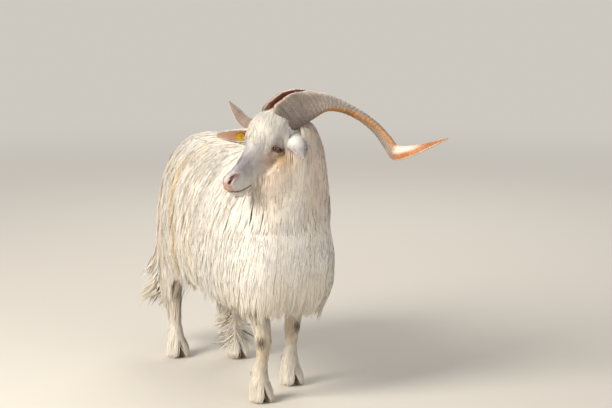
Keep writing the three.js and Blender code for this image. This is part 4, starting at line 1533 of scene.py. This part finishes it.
makeShortCoat()
makeFeetCoat()
makeEarCoat()
print("coat done", sum(len(p.data.polygons) for p in coatPieces), "faces")


# the skin's colours: the coat's markings and painted shade, bare nose and lips, pink inside the ears with a
# painted glow, and painted shade round the eyes
def paintSkin():
    mesh = skin.data
    p = spotsOf(mesh)
    q = toHead(p)
    _, qy, qz = q.T
    body = toBody(p)
    color = marksAndShade(p)
    fold = folded(q)
    onHead = headShare(q)
    color = mix(color, color * (1.0, 0.94, 0.89), (1 - onHead * 0.7)[:, None])
    muzzle = smooth(qz, 228, 248) * smooth(qy, -48, -34) * smooth(qy, 20, 8) * onHead
    color = blend(color, "flesh", 0.40 * muzzle)
    slit, _ = toPath(fold, faceSet["nostril"])
    color = blend(color, "nose", onHead * np.exp(-((slit / 10.5) ** 3)))
    color = blend(color, "nose", 0.7 * smooth(qz, 245, 252) * smooth(qy, -26, -18) * smooth(qy, 12, 4))
    color = blend(color, "rim", onHead * np.exp(-((slit / 5.6) ** 4)))
    mouth, _ = toPath(q[:, 1:], faceSet["mouth"])
    lips = smooth(qz, 190, 199) * onHead
    color = blend(color, "nose", lips * np.exp(-((mouth / 4.2) ** 2)))
    color = blend(color, "rim", 0.6 * lips * np.exp(-((mouth / 1.6) ** 2)))
    for sign in (1, -1):
        home, _, long, up = eyeFrame(sign)
        d = q - home
        a, b = d @ long, d @ up
        near = norm(d, axis=1) < 40
        color = blend(color, "tear", near * 0.9 * np.exp(-(np.hypot((a + 4) / 24, b / 13) ** 4)))
        # a dark ring round the eye: dark lid skin, and painted shade of the lids and lashes
        color = blend(color, "rim", near * np.exp(-(np.hypot((a - 3) / 24, (b - 0.5) / 10.2) ** 6)))
        corner = home - long * 11
        tear, t = toSegment(q, corner, corner + np.array([-10 * sign, -14, 24]))
        color = blend(color, "tear", np.exp(-((tear / 5.5) ** 2)) * smooth(t, 1.0, 0.2))
    # after the body's points come the two lid rims, then the two ears
    first = bodyCount + 2 * faceSet["rimSteps"][0] * faceSet["rimSteps"][1]
    color[bodyCount:first] = np.array(paintSet["rim"]) * 1.3
    u, a, face = (values.ravel() for values in earGrid())
    for side in ("left", "right"):
        color[first:first + len(a)] = earColors(side, u, a, face >= -0.02)
        first += len(a)
    coronet = smooth(body[:, 2], 46, 34) * (body[:, 2] < 60)
    color = blend(color, "flesh", 0.4 * coronet)
    paintPoints(mesh, "tint", color)
    # a lengthways measure along the lie of the short hair, for fine streaks
    lie = mix(body * (1, 1, 0.14), q * (1, 1, 0.14), onHead[:, None])
    addMeasure(mesh, "lie", lie)


hairPaint = {"fine": 9.0, "long": 0.55, "contrast": (0.90, 1.05), "roughness": (0.48, 0.68), "bump": 0.25,
             "sheen": 0.18, "shine": 0.35}


def makeHairPaint():
    paint, tree, bsdf = newPaint("coatHair")
    strand = node(tree, "ShaderNodeUVMap", uv_map="strand").outputs[0]
    grain = noiseOn(tree, stretched(tree, strand, (hairPaint["fine"], hairPaint["long"], 1)), 1.0, 2.0, 0.6)
    feed(tree, bsdf, {
        "Base Color": mottle(tree, named(tree, "tint"), grain, *hairPaint["contrast"]),
        "Roughness": remap(tree, grain, 0.3, 0.7, *hairPaint["roughness"]),
        "Normal": bumped(tree, hairPaint["bump"], 0.0006, grain),
        "Sheen Weight": hairPaint["sheen"], "Specular IOR Level": hairPaint["shine"],
    })
    return paint


skinPaintSet = {"streaks": 0.55, "pores": 620.0, "bump": 0.5, "roughness": (0.45, 0.7), "subsurface": 0.12}


def makeSkinPaint():
    paint, tree, bsdf = newPaint("goatSkin")
    streaks = noiseOn(tree, named(tree, "lie", "Vector"), skinPaintSet["streaks"], 4.0, 0.65)
    place = objectPlace(tree)
    cells = {"Vector": place, "Scale": skinPaintSet["pores"]}
    pores = node(tree, "ShaderNodeTexVoronoi", cells).outputs["Distance"]
    color = mottle(tree, named(tree, "tint"), streaks, 0.88, 1.06)
    fine = bumped(tree, skinPaintSet["bump"], 0.0008, streaks)
    feed(tree, bsdf, {
        "Base Color": mottle(tree, color, noiseOn(tree, place, 26.0, 3.0), 0.94, 1.04),
        "Roughness": remap(tree, pores, 0.0, 0.8, *skinPaintSet["roughness"]),
        "Normal": bumped(tree, 0.25, 0.0004, pores, fine),
        "Subsurface Weight": skinPaintSet["subsurface"], "Subsurface Radius": (1.0, 0.4, 0.25),
        "Subsurface Scale": 0.004,
    })
    return paint


# horns: long flat blades that turn over on their way out, with rings across them
hornSet = {
    "route": [
        (33, 4, 8), (44, -10, -70), (59, -51, -129), (94, -96, -156), (142, -139, -163), (194, -173, -151),
        (243, -195, -126), (288, -201, -102), (354, -190, -107), (415, -184, -136), (472, -177, -166),
    ],
    "heel": (5, 17, 10, 2), "thick": 19.4, "deep": 45.2, "turnOver": -200.0, "keel": (-0.35, 0.75, 0.35),
    "around": 56, "along": 330, "dense": 0.25,
    "ridges": 47.0, "ridgeHeight": 0.0004, "knobs": 15.0, "knobHeight": 0.0021, "uneven": 1.6, "seed": 3.0,
}
hornColors = {
    "outer": (0.155, 0.122, 0.104), "outerFar": (0.30, 0.24, 0.20), "pale": (0.62, 0.47, 0.36),
    "inner": (0.20, 0.052, 0.022),
    "under": (0.36, 0.17, 0.06), "dark": (0.07, 0.05, 0.035), "white": (0.74, 0.62, 0.52),
    "blade": {"left": (0.42, 0.15, 0.045), "right": (0.25, 0.18, 0.15)},
}


def hornShape(sign):
    steps = len(hornSet["route"]) - 1
    rings = []
    for i, (x, y, z) in enumerate(hornSet["route"]):
        size = (1 - i / steps) ** 0.62 * 0.9 + (0.06 if i == steps else 0.1)
        heel = hornSet["heel"][i] if i < len(hornSet["heel"]) else 0
        rings.append((x * sign, y, z, hornSet["thick"] * size, hornSet["deep"] * size, hornSet["deep"]
                      * size * 0.92 + heel))
    keel = np.array(hornSet["keel"]) * (sign, 1, 1)
    turnOver = hornSet["turnOver"] * sign
    spots, quads = limb(rings, keel, hornSet["around"], hornSet["along"], 1.7, 2.1, 0.03, hornSet["dense"],
                        turnOver)
    return fromHead(spots), quads


def newTree(name, numbers, material, whole=()):
    # a geometry tree with named inputs for its sizes, its seed and its material
    tree = bpy.data.node_groups.new(name, "GeometryNodeTree")
    inputs = ([("Geometry", "Geometry")] + [(key, "Float") for key in numbers]
              + [(key, "Int") for key in whole])
    for key, kind in inputs + [(material, "Material")]:
        tree.interface.new_socket(key, in_out="INPUT", socket_type="NodeSocket" + kind)
    tree.interface.new_socket("Geometry", in_out="OUTPUT", socket_type="NodeSocketGeometry")
    return tree, node(tree, "NodeGroupInput").outputs


def endTree(tree, geometry, material):
    real = node(tree, "GeometryNodeRealizeInstances", {"Geometry": geometry})
    last = node(tree, "GeometryNodeSetMaterial", {"Geometry": real.outputs[0], "Material": material})
    node(tree, "NodeGroupOutput", {0: last.outputs[0]})
    return tree


def ridgeTree():
    # rings and knobs across a horn, from how far along it each point lies
    sizes = ("Ridges", "Ridge Height", "Knobs", "Knob Height", "Uneven", "Seed")
    tree, given = newTree("hornRidges", sizes, "Horn")
    along, keel = (node(tree, "GeometryNodeInputNamedAttribute", {"Name": name},
                        data_type="FLOAT").outputs[0]
                   for name in ("along", "keel"))
    noise = {"W": given["Seed"], "Scale": 34.0, "Detail": 2.0}
    wobble = node(tree, "ShaderNodeTexNoise", noise, noise_dimensions="4D").outputs[0]
    wobble = maths(tree, "MULTIPLY", wobble, given["Uneven"])

    def swell(count):
        turns = maths(tree, "ADD", maths(tree, "MULTIPLY", along, count), wobble)
        return maths(tree, "SINE", maths(tree, "MULTIPLY", turns, 6.2832))

    rings = maths(tree, "MULTIPLY", swell(given["Ridges"]), given["Ridge Height"])
    knobs = maths(tree, "POWER", maths(tree, "MULTIPLY_ADD", swell(given["Knobs"]), 0.5), 2.0)
    knobs = maths(tree, "MULTIPLY", maths(tree, "MULTIPLY", knobs, given["Knob Height"]), keel)
    fade = maths(tree, "POWER", maths(tree, "SUBTRACT", 1.0, along), 0.6)
    lift = maths(tree, "MULTIPLY", maths(tree, "ADD", rings, knobs), fade)
    normal = node(tree, "GeometryNodeInputNormal").outputs[0]
    offset = node(tree, "ShaderNodeVectorMath", {0: normal, "Scale": lift}, operation="SCALE").outputs[0]
    moved = node(tree, "GeometryNodeSetPosition", {"Geometry": given["Geometry"], "Offset": offset})
    return endTree(tree, moved.outputs[0], given["Horn"])


def runTree(piece, tree, values):
    changer = piece.modifiers.new(tree.name, "NODES")
    changer.node_group = tree
    for item in tree.interface.items_tree:
        if item.item_type == "SOCKET" and item.in_out == "INPUT" and item.name in values:
            changer[item.identifier] = values[item.name]
    return applied(piece)


def makeHorn(side, tree, paint):
    sign = 1 if side == "left" else -1
    n, m = hornSet["along"], hornSet["around"]
    piece = addMesh("horn" + side.capitalize(), *hornShape(sign))
    mesh = piece.data
    along = np.repeat(limbShares(n, hornSet["dense"]), m)
    ring = np.tile(np.arange(m) / m * 2 * math.pi, n + 1)
    c, s = np.cos(ring), np.sin(ring)
    addMeasure(mesh, "along", along)
    addMeasure(mesh, "keel", np.clip(s, 0, 1) ** 1.5 * np.clip(1 - along * 1.6, 0, 1))
    colorHorn(mesh, along, s, c * sign, side)
    i, j = np.meshgrid(np.arange(n), np.arange(m), indexing="ij")
    corners = [np.stack([(i + di) / n, (j + dj) / m], -1) for di, dj in ((0, 0), (1, 0), (1, 1), (0, 1))]
    addMap(mesh, "wrap", np.stack(corners, 2))
    cleanShell(mesh, 1e-6)
    return runTree(piece, tree, {
        "Ridges": hornSet["ridges"], "Ridge Height": hornSet["ridgeHeight"], "Knobs": hornSet["knobs"],
        "Knob Height": hornSet["knobHeight"], "Uneven": hornSet["uneven"], "Seed": hornSet["seed"] + sign,
        "Horn": paint,
    })


def colorHorn(mesh, along, s, c, side):
    # grey-brown outside, rust inside, tan underneath, a worn pale line beside the keel
    color = np.tile(hornColors["outer"], (len(along), 1)).astype(float)
    far = smooth(along, 0.30, 0.44)
    for key, w in (
        ("outerFar", smooth(along, 0.02, 0.22)),
        ("inner", smooth(c, -0.12, 0.10) * smooth(along, 0.5, 0.35)),
        ("under", smooth(c * 0.7 - s, 0.55 + 0.22 * far, 0.95 + 0.12 * far) * smooth(along, 0.07, 0.22)),
        ("pale", np.exp(-(((c + 0.26) / 0.17) ** 2)) * (s > 0) * smooth(along, 0.5, 0.3)),
        ("pale", 0.7 * smooth(s, 0.1, 0.75) * smooth(-c, 0.1, 0.4) * smooth(along, 0.10, 0.17)
         * smooth(along, 0.32, 0.24)),
        ("outerFar", 0.9 * far * smooth(s, -0.72, -0.50) * smooth(along, 0.72, 0.66)),
        ("blade", smooth(c, -0.1, 0.3) * smooth(along, 0.66, 0.76)),
        ("white", smooth(-s, -0.5, 0.1) * smooth(c, 0.0, 0.3) * smooth(along, 0.68, 0.73)
         * smooth(along, 0.90, 0.78) * (side == "left")),
        ("pale", smooth(s, 0.86, 0.97) * smooth(along, 0.52, 0.6)),
        ("dark", smooth(along, 0.05, 0.0) * 0.5),
    ):
        other = hornColors[key][side] if key == "blade" else hornColors[key]
        color += (np.array(other) - color) * np.clip(w, 0, 1)[:, None]
    paintPoints(mesh, "tint", color)


def makeHornPaint():
    paint, tree, bsdf = newPaint("hornGrain")
    wrap = node(tree, "ShaderNodeUVMap", uv_map="wrap").outputs[0]
    rings = noiseOn(tree, stretched(tree, wrap, (170, 3, 1)), 1.0, 3.0, 0.6)
    fibres = noiseOn(tree, stretched(tree, wrap, (12, 120, 1)), 1.0, 4.0, 0.6)
    place = objectPlace(tree)
    color = mottle(tree, named(tree, "tint"), rings, 0.86, 1.14)
    color = mottle(tree, color, fibres, 0.82, 1.15)
    color = mottle(tree, color, noiseOn(tree, place, 18.0, 4.0), 0.80, 1.12, 0.15)
    color = mottle(tree, color, noiseOn(tree, place, 230.0, 4.0, 0.7), 0.72, 1.26, 0.15)
    feed(tree, bsdf, {
        "Base Color": color, "Roughness": remap(tree, fibres, 0.3, 0.7, 0.42, 0.66),
        "Normal": bumped(tree, 0.25, 0.0006, fibres, bumped(tree, 0.45, 0.0012, rings)),
    })
    return paint


# eyes: a ball with a clear bulge, an amber iris and a level slot for a pupil
eyeSet = {
    "steps": (40, 48), "radius": 0.01395, "iris": 0.66, "bulge": 0.0011, "slot": (0.40, 0.115),
    "look": (0.96, 0.20, 0.18),
    "irisColor": (0.13, 0.055, 0.016), "irisEdge": (0.03, 0.012, 0.006), "white": (0.13, 0.07, 0.05),
    "pupil": (0.004, 0.004, 0.006),
}


def makeEye(side, paint):
    sign = 1 if side == "left" else -1
    home, out, long, up = eyeFrame(sign)
    look = unit(np.array(eyeSet["look"])) * (sign, 1, 1)
    long = unit(long - look * (long @ look))
    up = np.cross(look, long) * (1 if np.cross(look, long) @ up > 0 else -1)
    polar, ball = ballGrid(*eyeSet["steps"])
    radius = eyeSet["radius"] + eyeSet["bulge"] * np.exp(-((polar / 0.62) ** 4))
    a, b, c = (ball[..., k:k + 1] for k in range(3))
    local = (a * long + b * up + c * look) * radius[..., None] * 1000
    spots = fromHead((home - 0.3 * out + local).reshape(-1, 3))
    piece = addMesh("eyeball" + side.capitalize(), spots, bandQuads(*eyeSet["steps"]))
    addMeasure(piece.data, "gaze", ball.reshape(-1, 3))
    return finished(piece, paint)


def finished(piece, paint):
    cleanShell(piece.data)
    piece.data.materials.append(paint)
    return piece


def makeEyePaint():
    paint, tree, bsdf = newPaint("wetEye")
    along, above, ahead = node(tree, "ShaderNodeSeparateXYZ", {0: named(tree, "gaze", "Vector")}).outputs
    flat = node(tree, "ShaderNodeCombineXYZ", {0: along, 1: above}).outputs[0]
    far = node(tree, "ShaderNodeVectorMath", {0: flat}, operation="LENGTH").outputs["Value"]
    spokes = node(tree, "ShaderNodeVectorMath", {0: flat}, operation="NORMALIZE").outputs[0]
    dark = [v * 0.45 for v in eyeSet["irisColor"]]
    fibres = remap(tree, noiseOn(tree, spokes, 9.0, 4.0, 0.7), 0.35, 0.65, 0, 1)
    color = mixColors(tree, (*eyeSet["irisColor"], 1), (*dark, 1), fibres)
    iris = eyeSet["iris"]
    color = mixColors(tree, color, (*eyeSet["irisEdge"], 1), remap(tree, far, iris * 0.72, iris, 0, 1))
    color = mixColors(tree, color, (*eyeSet["white"], 1), remap(tree, far, iris, iris + 0.05, 0, 1))
    # the pupil's slot: a box with round ends
    halfLong, halfHigh = eyeSet["slot"]
    past = maths(tree, "SUBTRACT", maths(tree, "ABSOLUTE", along), halfLong - halfHigh)
    slot = node(tree, "ShaderNodeCombineXYZ", {0: maths(tree, "MAXIMUM", past, 0.0), 1: above}).outputs[0]
    gap = node(tree, "ShaderNodeVectorMath", {0: slot}, operation="LENGTH").outputs["Value"]
    pupil = remap(tree, gap, halfHigh, halfHigh * 0.8, 0, 1)
    amount = maths(tree, "MULTIPLY", remap(tree, ahead, -0.05, 0.05, 0, 1), pupil)
    feed(tree, bsdf, {
        "Base Color": mixColors(tree, color, (*eyeSet["pupil"], 1), amount),
        "Roughness": 0.12, "Coat Weight": 1.0, "Coat Roughness": 0.03,
    })
    return paint


# hooves: two claws and two dewclaws to a foot
hoofSet = {
    "steps": (30, 56), "dewSteps": (20, 28),
    "height": 33, "halfs": (13.2, 12.8, 11.5), "toes": (36, 28, 19), "heels": (24, 28, 31), "splay": 9,
    "apart": 17, "ahead": 10, "round": 1.8, "rings": 7, "ringHeight": 0.28,
    "colors": ((0.47, 0.36, 0.25), (0.30, 0.21, 0.14), (0.50, 0.39, 0.27)),
}


def makeClaw(end, side, which, paint):
    footX, footY = feet[end][0 if side == "left" else 1]
    # the CAD claw of that name tells which of the two this is
    low, high = (toBody(np.array(c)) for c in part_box(f"hoof_{end}_{side}_{which}"))
    inward = 1 if (low[0] + high[0]) / 2 > footX else -1
    n, m = hoofSet["steps"]
    t = np.linspace(0, 1, n + 1)
    height = t * hoofSet["height"]
    rings = throughPoints(np.array([hoofSet["halfs"], hoofSet["toes"], hoofSet["heels"]]).T, t)
    bevel = hoofSet["round"]
    inset = np.sqrt(np.maximum(bevel**2 - np.maximum(bevel - height, 0) ** 2, 0)) - bevel
    top = np.maximum(height - hoofSet["height"] + 1.2, 0)
    ridge = hoofSet["ringHeight"] * np.sin(t * hoofSet["rings"] * 2 * math.pi) * smooth(t, 0.05, 0.15)
    grow = (inset + ridge - top * 0.8 - 0.25)[:, None]
    x, y = ovalRings(m, *(rings[:, k:k + 1] + grow for k in range(3)), 1.9, 2.8)
    turn = math.radians(hoofSet["splay"]) * inward
    spots = np.stack([
        footX + hoofSet["apart"] * inward + x * math.cos(turn) + y * math.sin(turn),
        footY - hoofSet["ahead"] + x * math.sin(turn) - y * math.cos(turn), height[:, None] + 0 * x,
    ], -1)
    points = np.vstack([spots.reshape(-1, 3), spots[0].mean(0), spots[-1].mean(0)])
    here = np.arange(m)
    beside = (here + 1) % m
    bottom = np.stack([beside, here, np.full(m, len(points) - 2)], -1)
    topCap = np.stack([here + n * m, beside + n * m, np.full(m, len(points) - 1)], -1)
    name = "claw" + end.capitalize() + side.capitalize() + which.upper()
    piece = addMesh(name, fromBody(points), flipped(bandQuads(n, m)), np.vstack([bottom, topCap]))
    addMeasure(piece.data, "rise", np.concatenate([np.repeat(t, m), [0, 1]]))
    return settle(finished(piece, paint), "hoof", f"hoof_{end}_{side}_{which}")


def makeDewclaw(end, side, which, paint):
    low, high = (np.array(c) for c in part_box(f"dewclaw_{end}_{side}_{which}"))
    polar, ball = ballGrid(*hoofSet["dewSteps"])
    grow = 1 + 0.035 * np.sin(ball[..., 2] * 16)[..., None]
    spots = (low + high) / 2 + ball * (high - low) / 2 * grow * 0.97
    name = "dewclaw" + end.capitalize() + side.capitalize() + which.upper()
    piece = addMesh(name, spots.reshape(-1, 3), bandQuads(*hoofSet["dewSteps"]))
    addMeasure(piece.data, "rise", (1 - polar / math.pi).ravel())
    return settle(finished(piece, paint), "hoof", f"dewclaw_{end}_{side}_{which}")


def makeHoofPaint():
    paint, tree, bsdf = newPaint("hoofHorn")
    rise, place = named(tree, "rise", "Fac"), objectPlace(tree)
    fibres = noiseOn(tree, stretched(tree, place, (900, 900, 60)), 1.0, 3.0)
    middle, dark, dusty = ((*c, 1) for c in hoofSet["colors"])
    color = mixColors(tree, middle, dark, remap(tree, rise, 0.35, 1.0, 0, 0.8))
    color = mixColors(tree, color, dusty, remap(tree, rise, 0.35, 0.0, 0, 0.7))
    color = mottle(tree, color, fibres, 0.78, 1.15)
    feed(tree, bsdf, {
        "Base Color": mottle(tree, color, noiseOn(tree, place, 70.0, 3.0), 0.80, 1.15),
        "Roughness": remap(tree, fibres, 0.3, 0.7, 0.45, 0.7), "Normal": bumped(tree, 0.4, 0.0006, fibres),
    })
    return paint


# the bare ear tag: a dished disc in front of the ear, a pin through it and a button behind
tagSet = {
    "at": (0.54, -0.42), "color": (0.82, 0.53, 0.012), "steps": 72,
    "face": [
        (0, -4.0), (9.6, -4.0), (10.6, -3.9), (12.2, -4.0), (12.8, -4.4), (12.9, -5.0), (12.7, -5.7),
        (12.1, -6.1),
        (11.2, -6.15), (10.6, -5.7), (9.9, -5.55), (4.2, -5.5), (3.9, -5.9), (3.5, -6.15), (0, -6.2),
    ],
    "pin": [(0, -5.0), (2.5, -5.0), (2.4, -1.5), (2.3, 0), (2.4, 2.0), (2.5, 2.7), (0, 2.75)],
    "button": [
        (0, 3.25), (7.0, 3.25), (7.7, 3.5), (7.9, 4.2), (7.7, 5.0), (7.0, 5.3), (4.0, 5.4), (3.4, 5.8),
        (2.6, 6.15), (0, 6.18),
    ],
}


def turned(name, profile, middle, axis, paint):
    # a turned shape from its profile of radius and height in mm
    steps = tagSet["steps"]
    profile = np.asarray(profile, float)
    one = unit(np.cross(axis, (0.3, 0.5, 0.81)))
    two = np.cross(axis, one)
    ring = (np.arange(steps) / steps * 2 * math.pi)[:, None]
    rim = one * np.cos(ring) + two * np.sin(ring)
    spots = middle + rim[None] * profile[:, None, :1] + axis * profile[:, None, 1:]
    piece = addMesh(name, fromHead(spots.reshape(-1, 3)), flipped(bandQuads(len(profile) - 1, steps)))
    return finished(piece, paint)


def makeTag(paint):
    u, a = tagSet["at"]
    at = earPlace("right", u, a, 0.0)
    axis = unit(earPlace("right", u, a, 10.0) - at)
    for name, profile, stoodFor in (
        ("tagFace", tagSet["face"], "ear_tag_face"), ("tagPin", tagSet["pin"], "ear_tag_face"),
        ("tagButton", tagSet["button"], "ear_tag_button"),
    ):
        settle(turned(name, profile, at, axis, paint), "tag", stoodFor)


def makeTagPaint():
    paint, tree, bsdf = newPaint("tagPlastic")
    place = objectPlace(tree)
    grime = remap(tree, noiseOn(tree, place, 240.0, 4.0), 0.5, 0.75, 0, 1)
    scuffs = noiseOn(tree, place, 1500.0)
    dirty = [v * 0.62 for v in tagSet["color"]]
    feed(tree, bsdf, {
        "Base Color": mixColors(tree, (*tagSet["color"], 1), (*dirty, 1), grime),
        "Roughness": remap(tree, scuffs, 0.3, 0.7, 0.32, 0.5), "Normal": bumped(tree, 0.15, 0.0003, scuffs),
    })
    return paint


# lashes and whiskers: one tapered hair set out along guide points
bristleSet = {
    "lashes": {"count": 46, "length": 0.0085, "radius": 0.00016, "bend": 0.35},
    "whiskers": {"count": 70, "length": 0.021, "radius": 0.00013, "bend": 0.45},
    "colors": ((0.62, 0.54, 0.44), (0.80, 0.75, 0.68)),
}


def bristleTree():
    tree, given = newTree("bristles", ("Length", "Radius", "Bend"), "Hair", whole=("Seed",))
    bent = maths(tree, "MULTIPLY", given["Length"], given["Bend"])
    tip = node(tree, "ShaderNodeCombineXYZ", {0: bent, 2: given["Length"]})
    half = node(tree, "ShaderNodeCombineXYZ", {2: maths(tree, "MULTIPLY", given["Length"], 0.62)})
    ends = {"Resolution": 5, "Start": (0, 0, 0), "Middle": half.outputs[0], "End": tip.outputs[0]}
    line = node(tree, "GeometryNodeCurveQuadraticBezier", ends)
    taper = remap(tree, node(tree, "GeometryNodeSplineParameter").outputs["Factor"], 0.0, 1.0, 1.0, 0.12)
    thick = node(tree, "GeometryNodeSetCurveRadius", {"Curve": line.outputs[0], "Radius": taper})
    ring = node(tree, "GeometryNodeCurvePrimitiveCircle", {"Resolution": 4, "Radius": given["Radius"]})
    shape = {"Curve": thick.outputs[0], "Profile Curve": ring.outputs[0], "Fill Caps": True}
    hair = node(tree, "GeometryNodeCurveToMesh", shape)
    if "Scale" in hair.inputs:
        feed(tree, hair, {"Scale": taper})
    way = node(tree, "GeometryNodeInputNamedAttribute", {"Name": "way"},
               data_type="FLOAT_VECTOR").outputs[0]
    turn = node(tree, "FunctionNodeAlignRotationToVector", {"Vector": way}, axis="Z").outputs[0]
    spread = {2: 0.65, 3: 1.15, "Seed": given["Seed"]}
    size = node(tree, "FunctionNodeRandomValue", spread, data_type="FLOAT").outputs[1]
    rows = node(tree, "GeometryNodeInstanceOnPoints", {
        "Points": given["Geometry"], "Instance": hair.outputs[0], "Rotation": turn, "Scale": size,
    })
    return endTree(tree, rows.outputs[0], given["Hair"])


def makeBristles(name, spots, ways, kind, tree, paint):
    sizes = bristleSet[kind]
    piece = addMesh(name, fromHead(spots))
    addMeasure(piece.data, "way", unit(ways @ headAxes))
    values = {"Length": sizes["length"], "Radius": sizes["radius"], "Bend": sizes["bend"], "Seed": 4,
              "Hair": paint}
    return runTree(piece, tree, values)


def makeLashes(tree, paint):
    pieces = []
    for side, sign in (("Left", 1), ("Right", -1)):
        home, out, long, up = eyeFrame(sign)
        halfLong, halfHigh = faceSet["eyeOpen"]
        a = np.linspace(-0.85, 0.95, bristleSet["lashes"]["count"])
        upper, _ = almond(a)
        b = upper * halfHigh + 0.9
        lift = out * np.sqrt((faceSet["eyeRadius"] + 1.7) ** 2 - (a * halfLong) ** 2 - b**2)[:, None]
        spots = home + long * (a * halfLong)[:, None] + up * b[:, None] + lift
        ways = out * 0.8 + up * 0.38 + long * (a * 0.55)[:, None] + dice.normal(0, 0.08, (len(a), 3))
        pieces.append(makeBristles("lashes" + side, spots, ways, "lashes", tree, paint))
    return pieces


def makeWhiskers(tree, paint):
    count = bristleSet["whiskers"]["count"]
    body = toHead(skinSpots[:bodyCount])
    normals = skinNormals[:bodyCount] @ headAxes.T
    low = (body[:, 2] > 196) & (body[:, 1] < -14) & (np.abs(body[:, 0]) > 4)
    mouth, _ = toPath(body[:, 1:], faceSet["mouth"])
    pick = dice.choice(np.flatnonzero(low & (mouth > 4)), count, replace=False)
    ways = normals[pick] + np.array([0, -0.35, 0.2]) + dice.normal(0, 0.25, (count, 3))
    return [makeBristles("whiskers", body[pick] - normals[pick] * 0.5, ways, "whiskers", tree, paint)]


def makeBristlePaint():
    paint, tree, bsdf = newPaint("bristle")
    noise = noiseOn(tree, objectPlace(tree), 400.0)
    feed(tree, bsdf, {
        "Base Color": mixColors(tree, *((*color, 1) for color in bristleSet["colors"]), noise),
        "Roughness": remap(tree, noise, 0.3, 0.7, 0.4, 0.6),
    })
    return paint


def settle(piece, slot, *stoodFor):
    # every piece rides with the one body; some stand in for CAD nodes
    if stoodFor:
        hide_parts(*stoodFor)
    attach(piece, "root")
    return piece


def makeRest():
    paintSkin()
    hair = makeHairPaint()
    skin.data.materials.append(makeSkinPaint())
    settle(skin, "coat", "head", "neck", "trunk", "tail", *sidesOf("foreleg", "hindleg", "ear"))
    for piece in coatPieces:
        piece.data.materials.append(hair)
        settle(piece, "coat")
    ridges, hornPaint, eyePaint, hoofPaint = ridgeTree(), makeHornPaint(), makeEyePaint(), makeHoofPaint()
    for side in ("left", "right"):
        settle(makeHorn(side, ridges, hornPaint), "horn", "horn_" + side)
    for side in ("left", "right"):
        settle(makeEye(side, eyePaint), "eye", "eye_" + side)
    for end in ("fore", "hind"):
        for side in ("left", "right"):
            for which in ("a", "b"):
                for make in (makeClaw, makeDewclaw):
                    make(end, side, which, hoofPaint)
    makeTag(makeTagPaint())
    bristles, bristlePaint = bristleTree(), makeBristlePaint()
    for piece in makeLashes(bristles, bristlePaint) + makeWhiskers(bristles, bristlePaint):
        settle(piece, "coat")


makeRest()
print("horns, eyes, hooves, tag and bristles done")
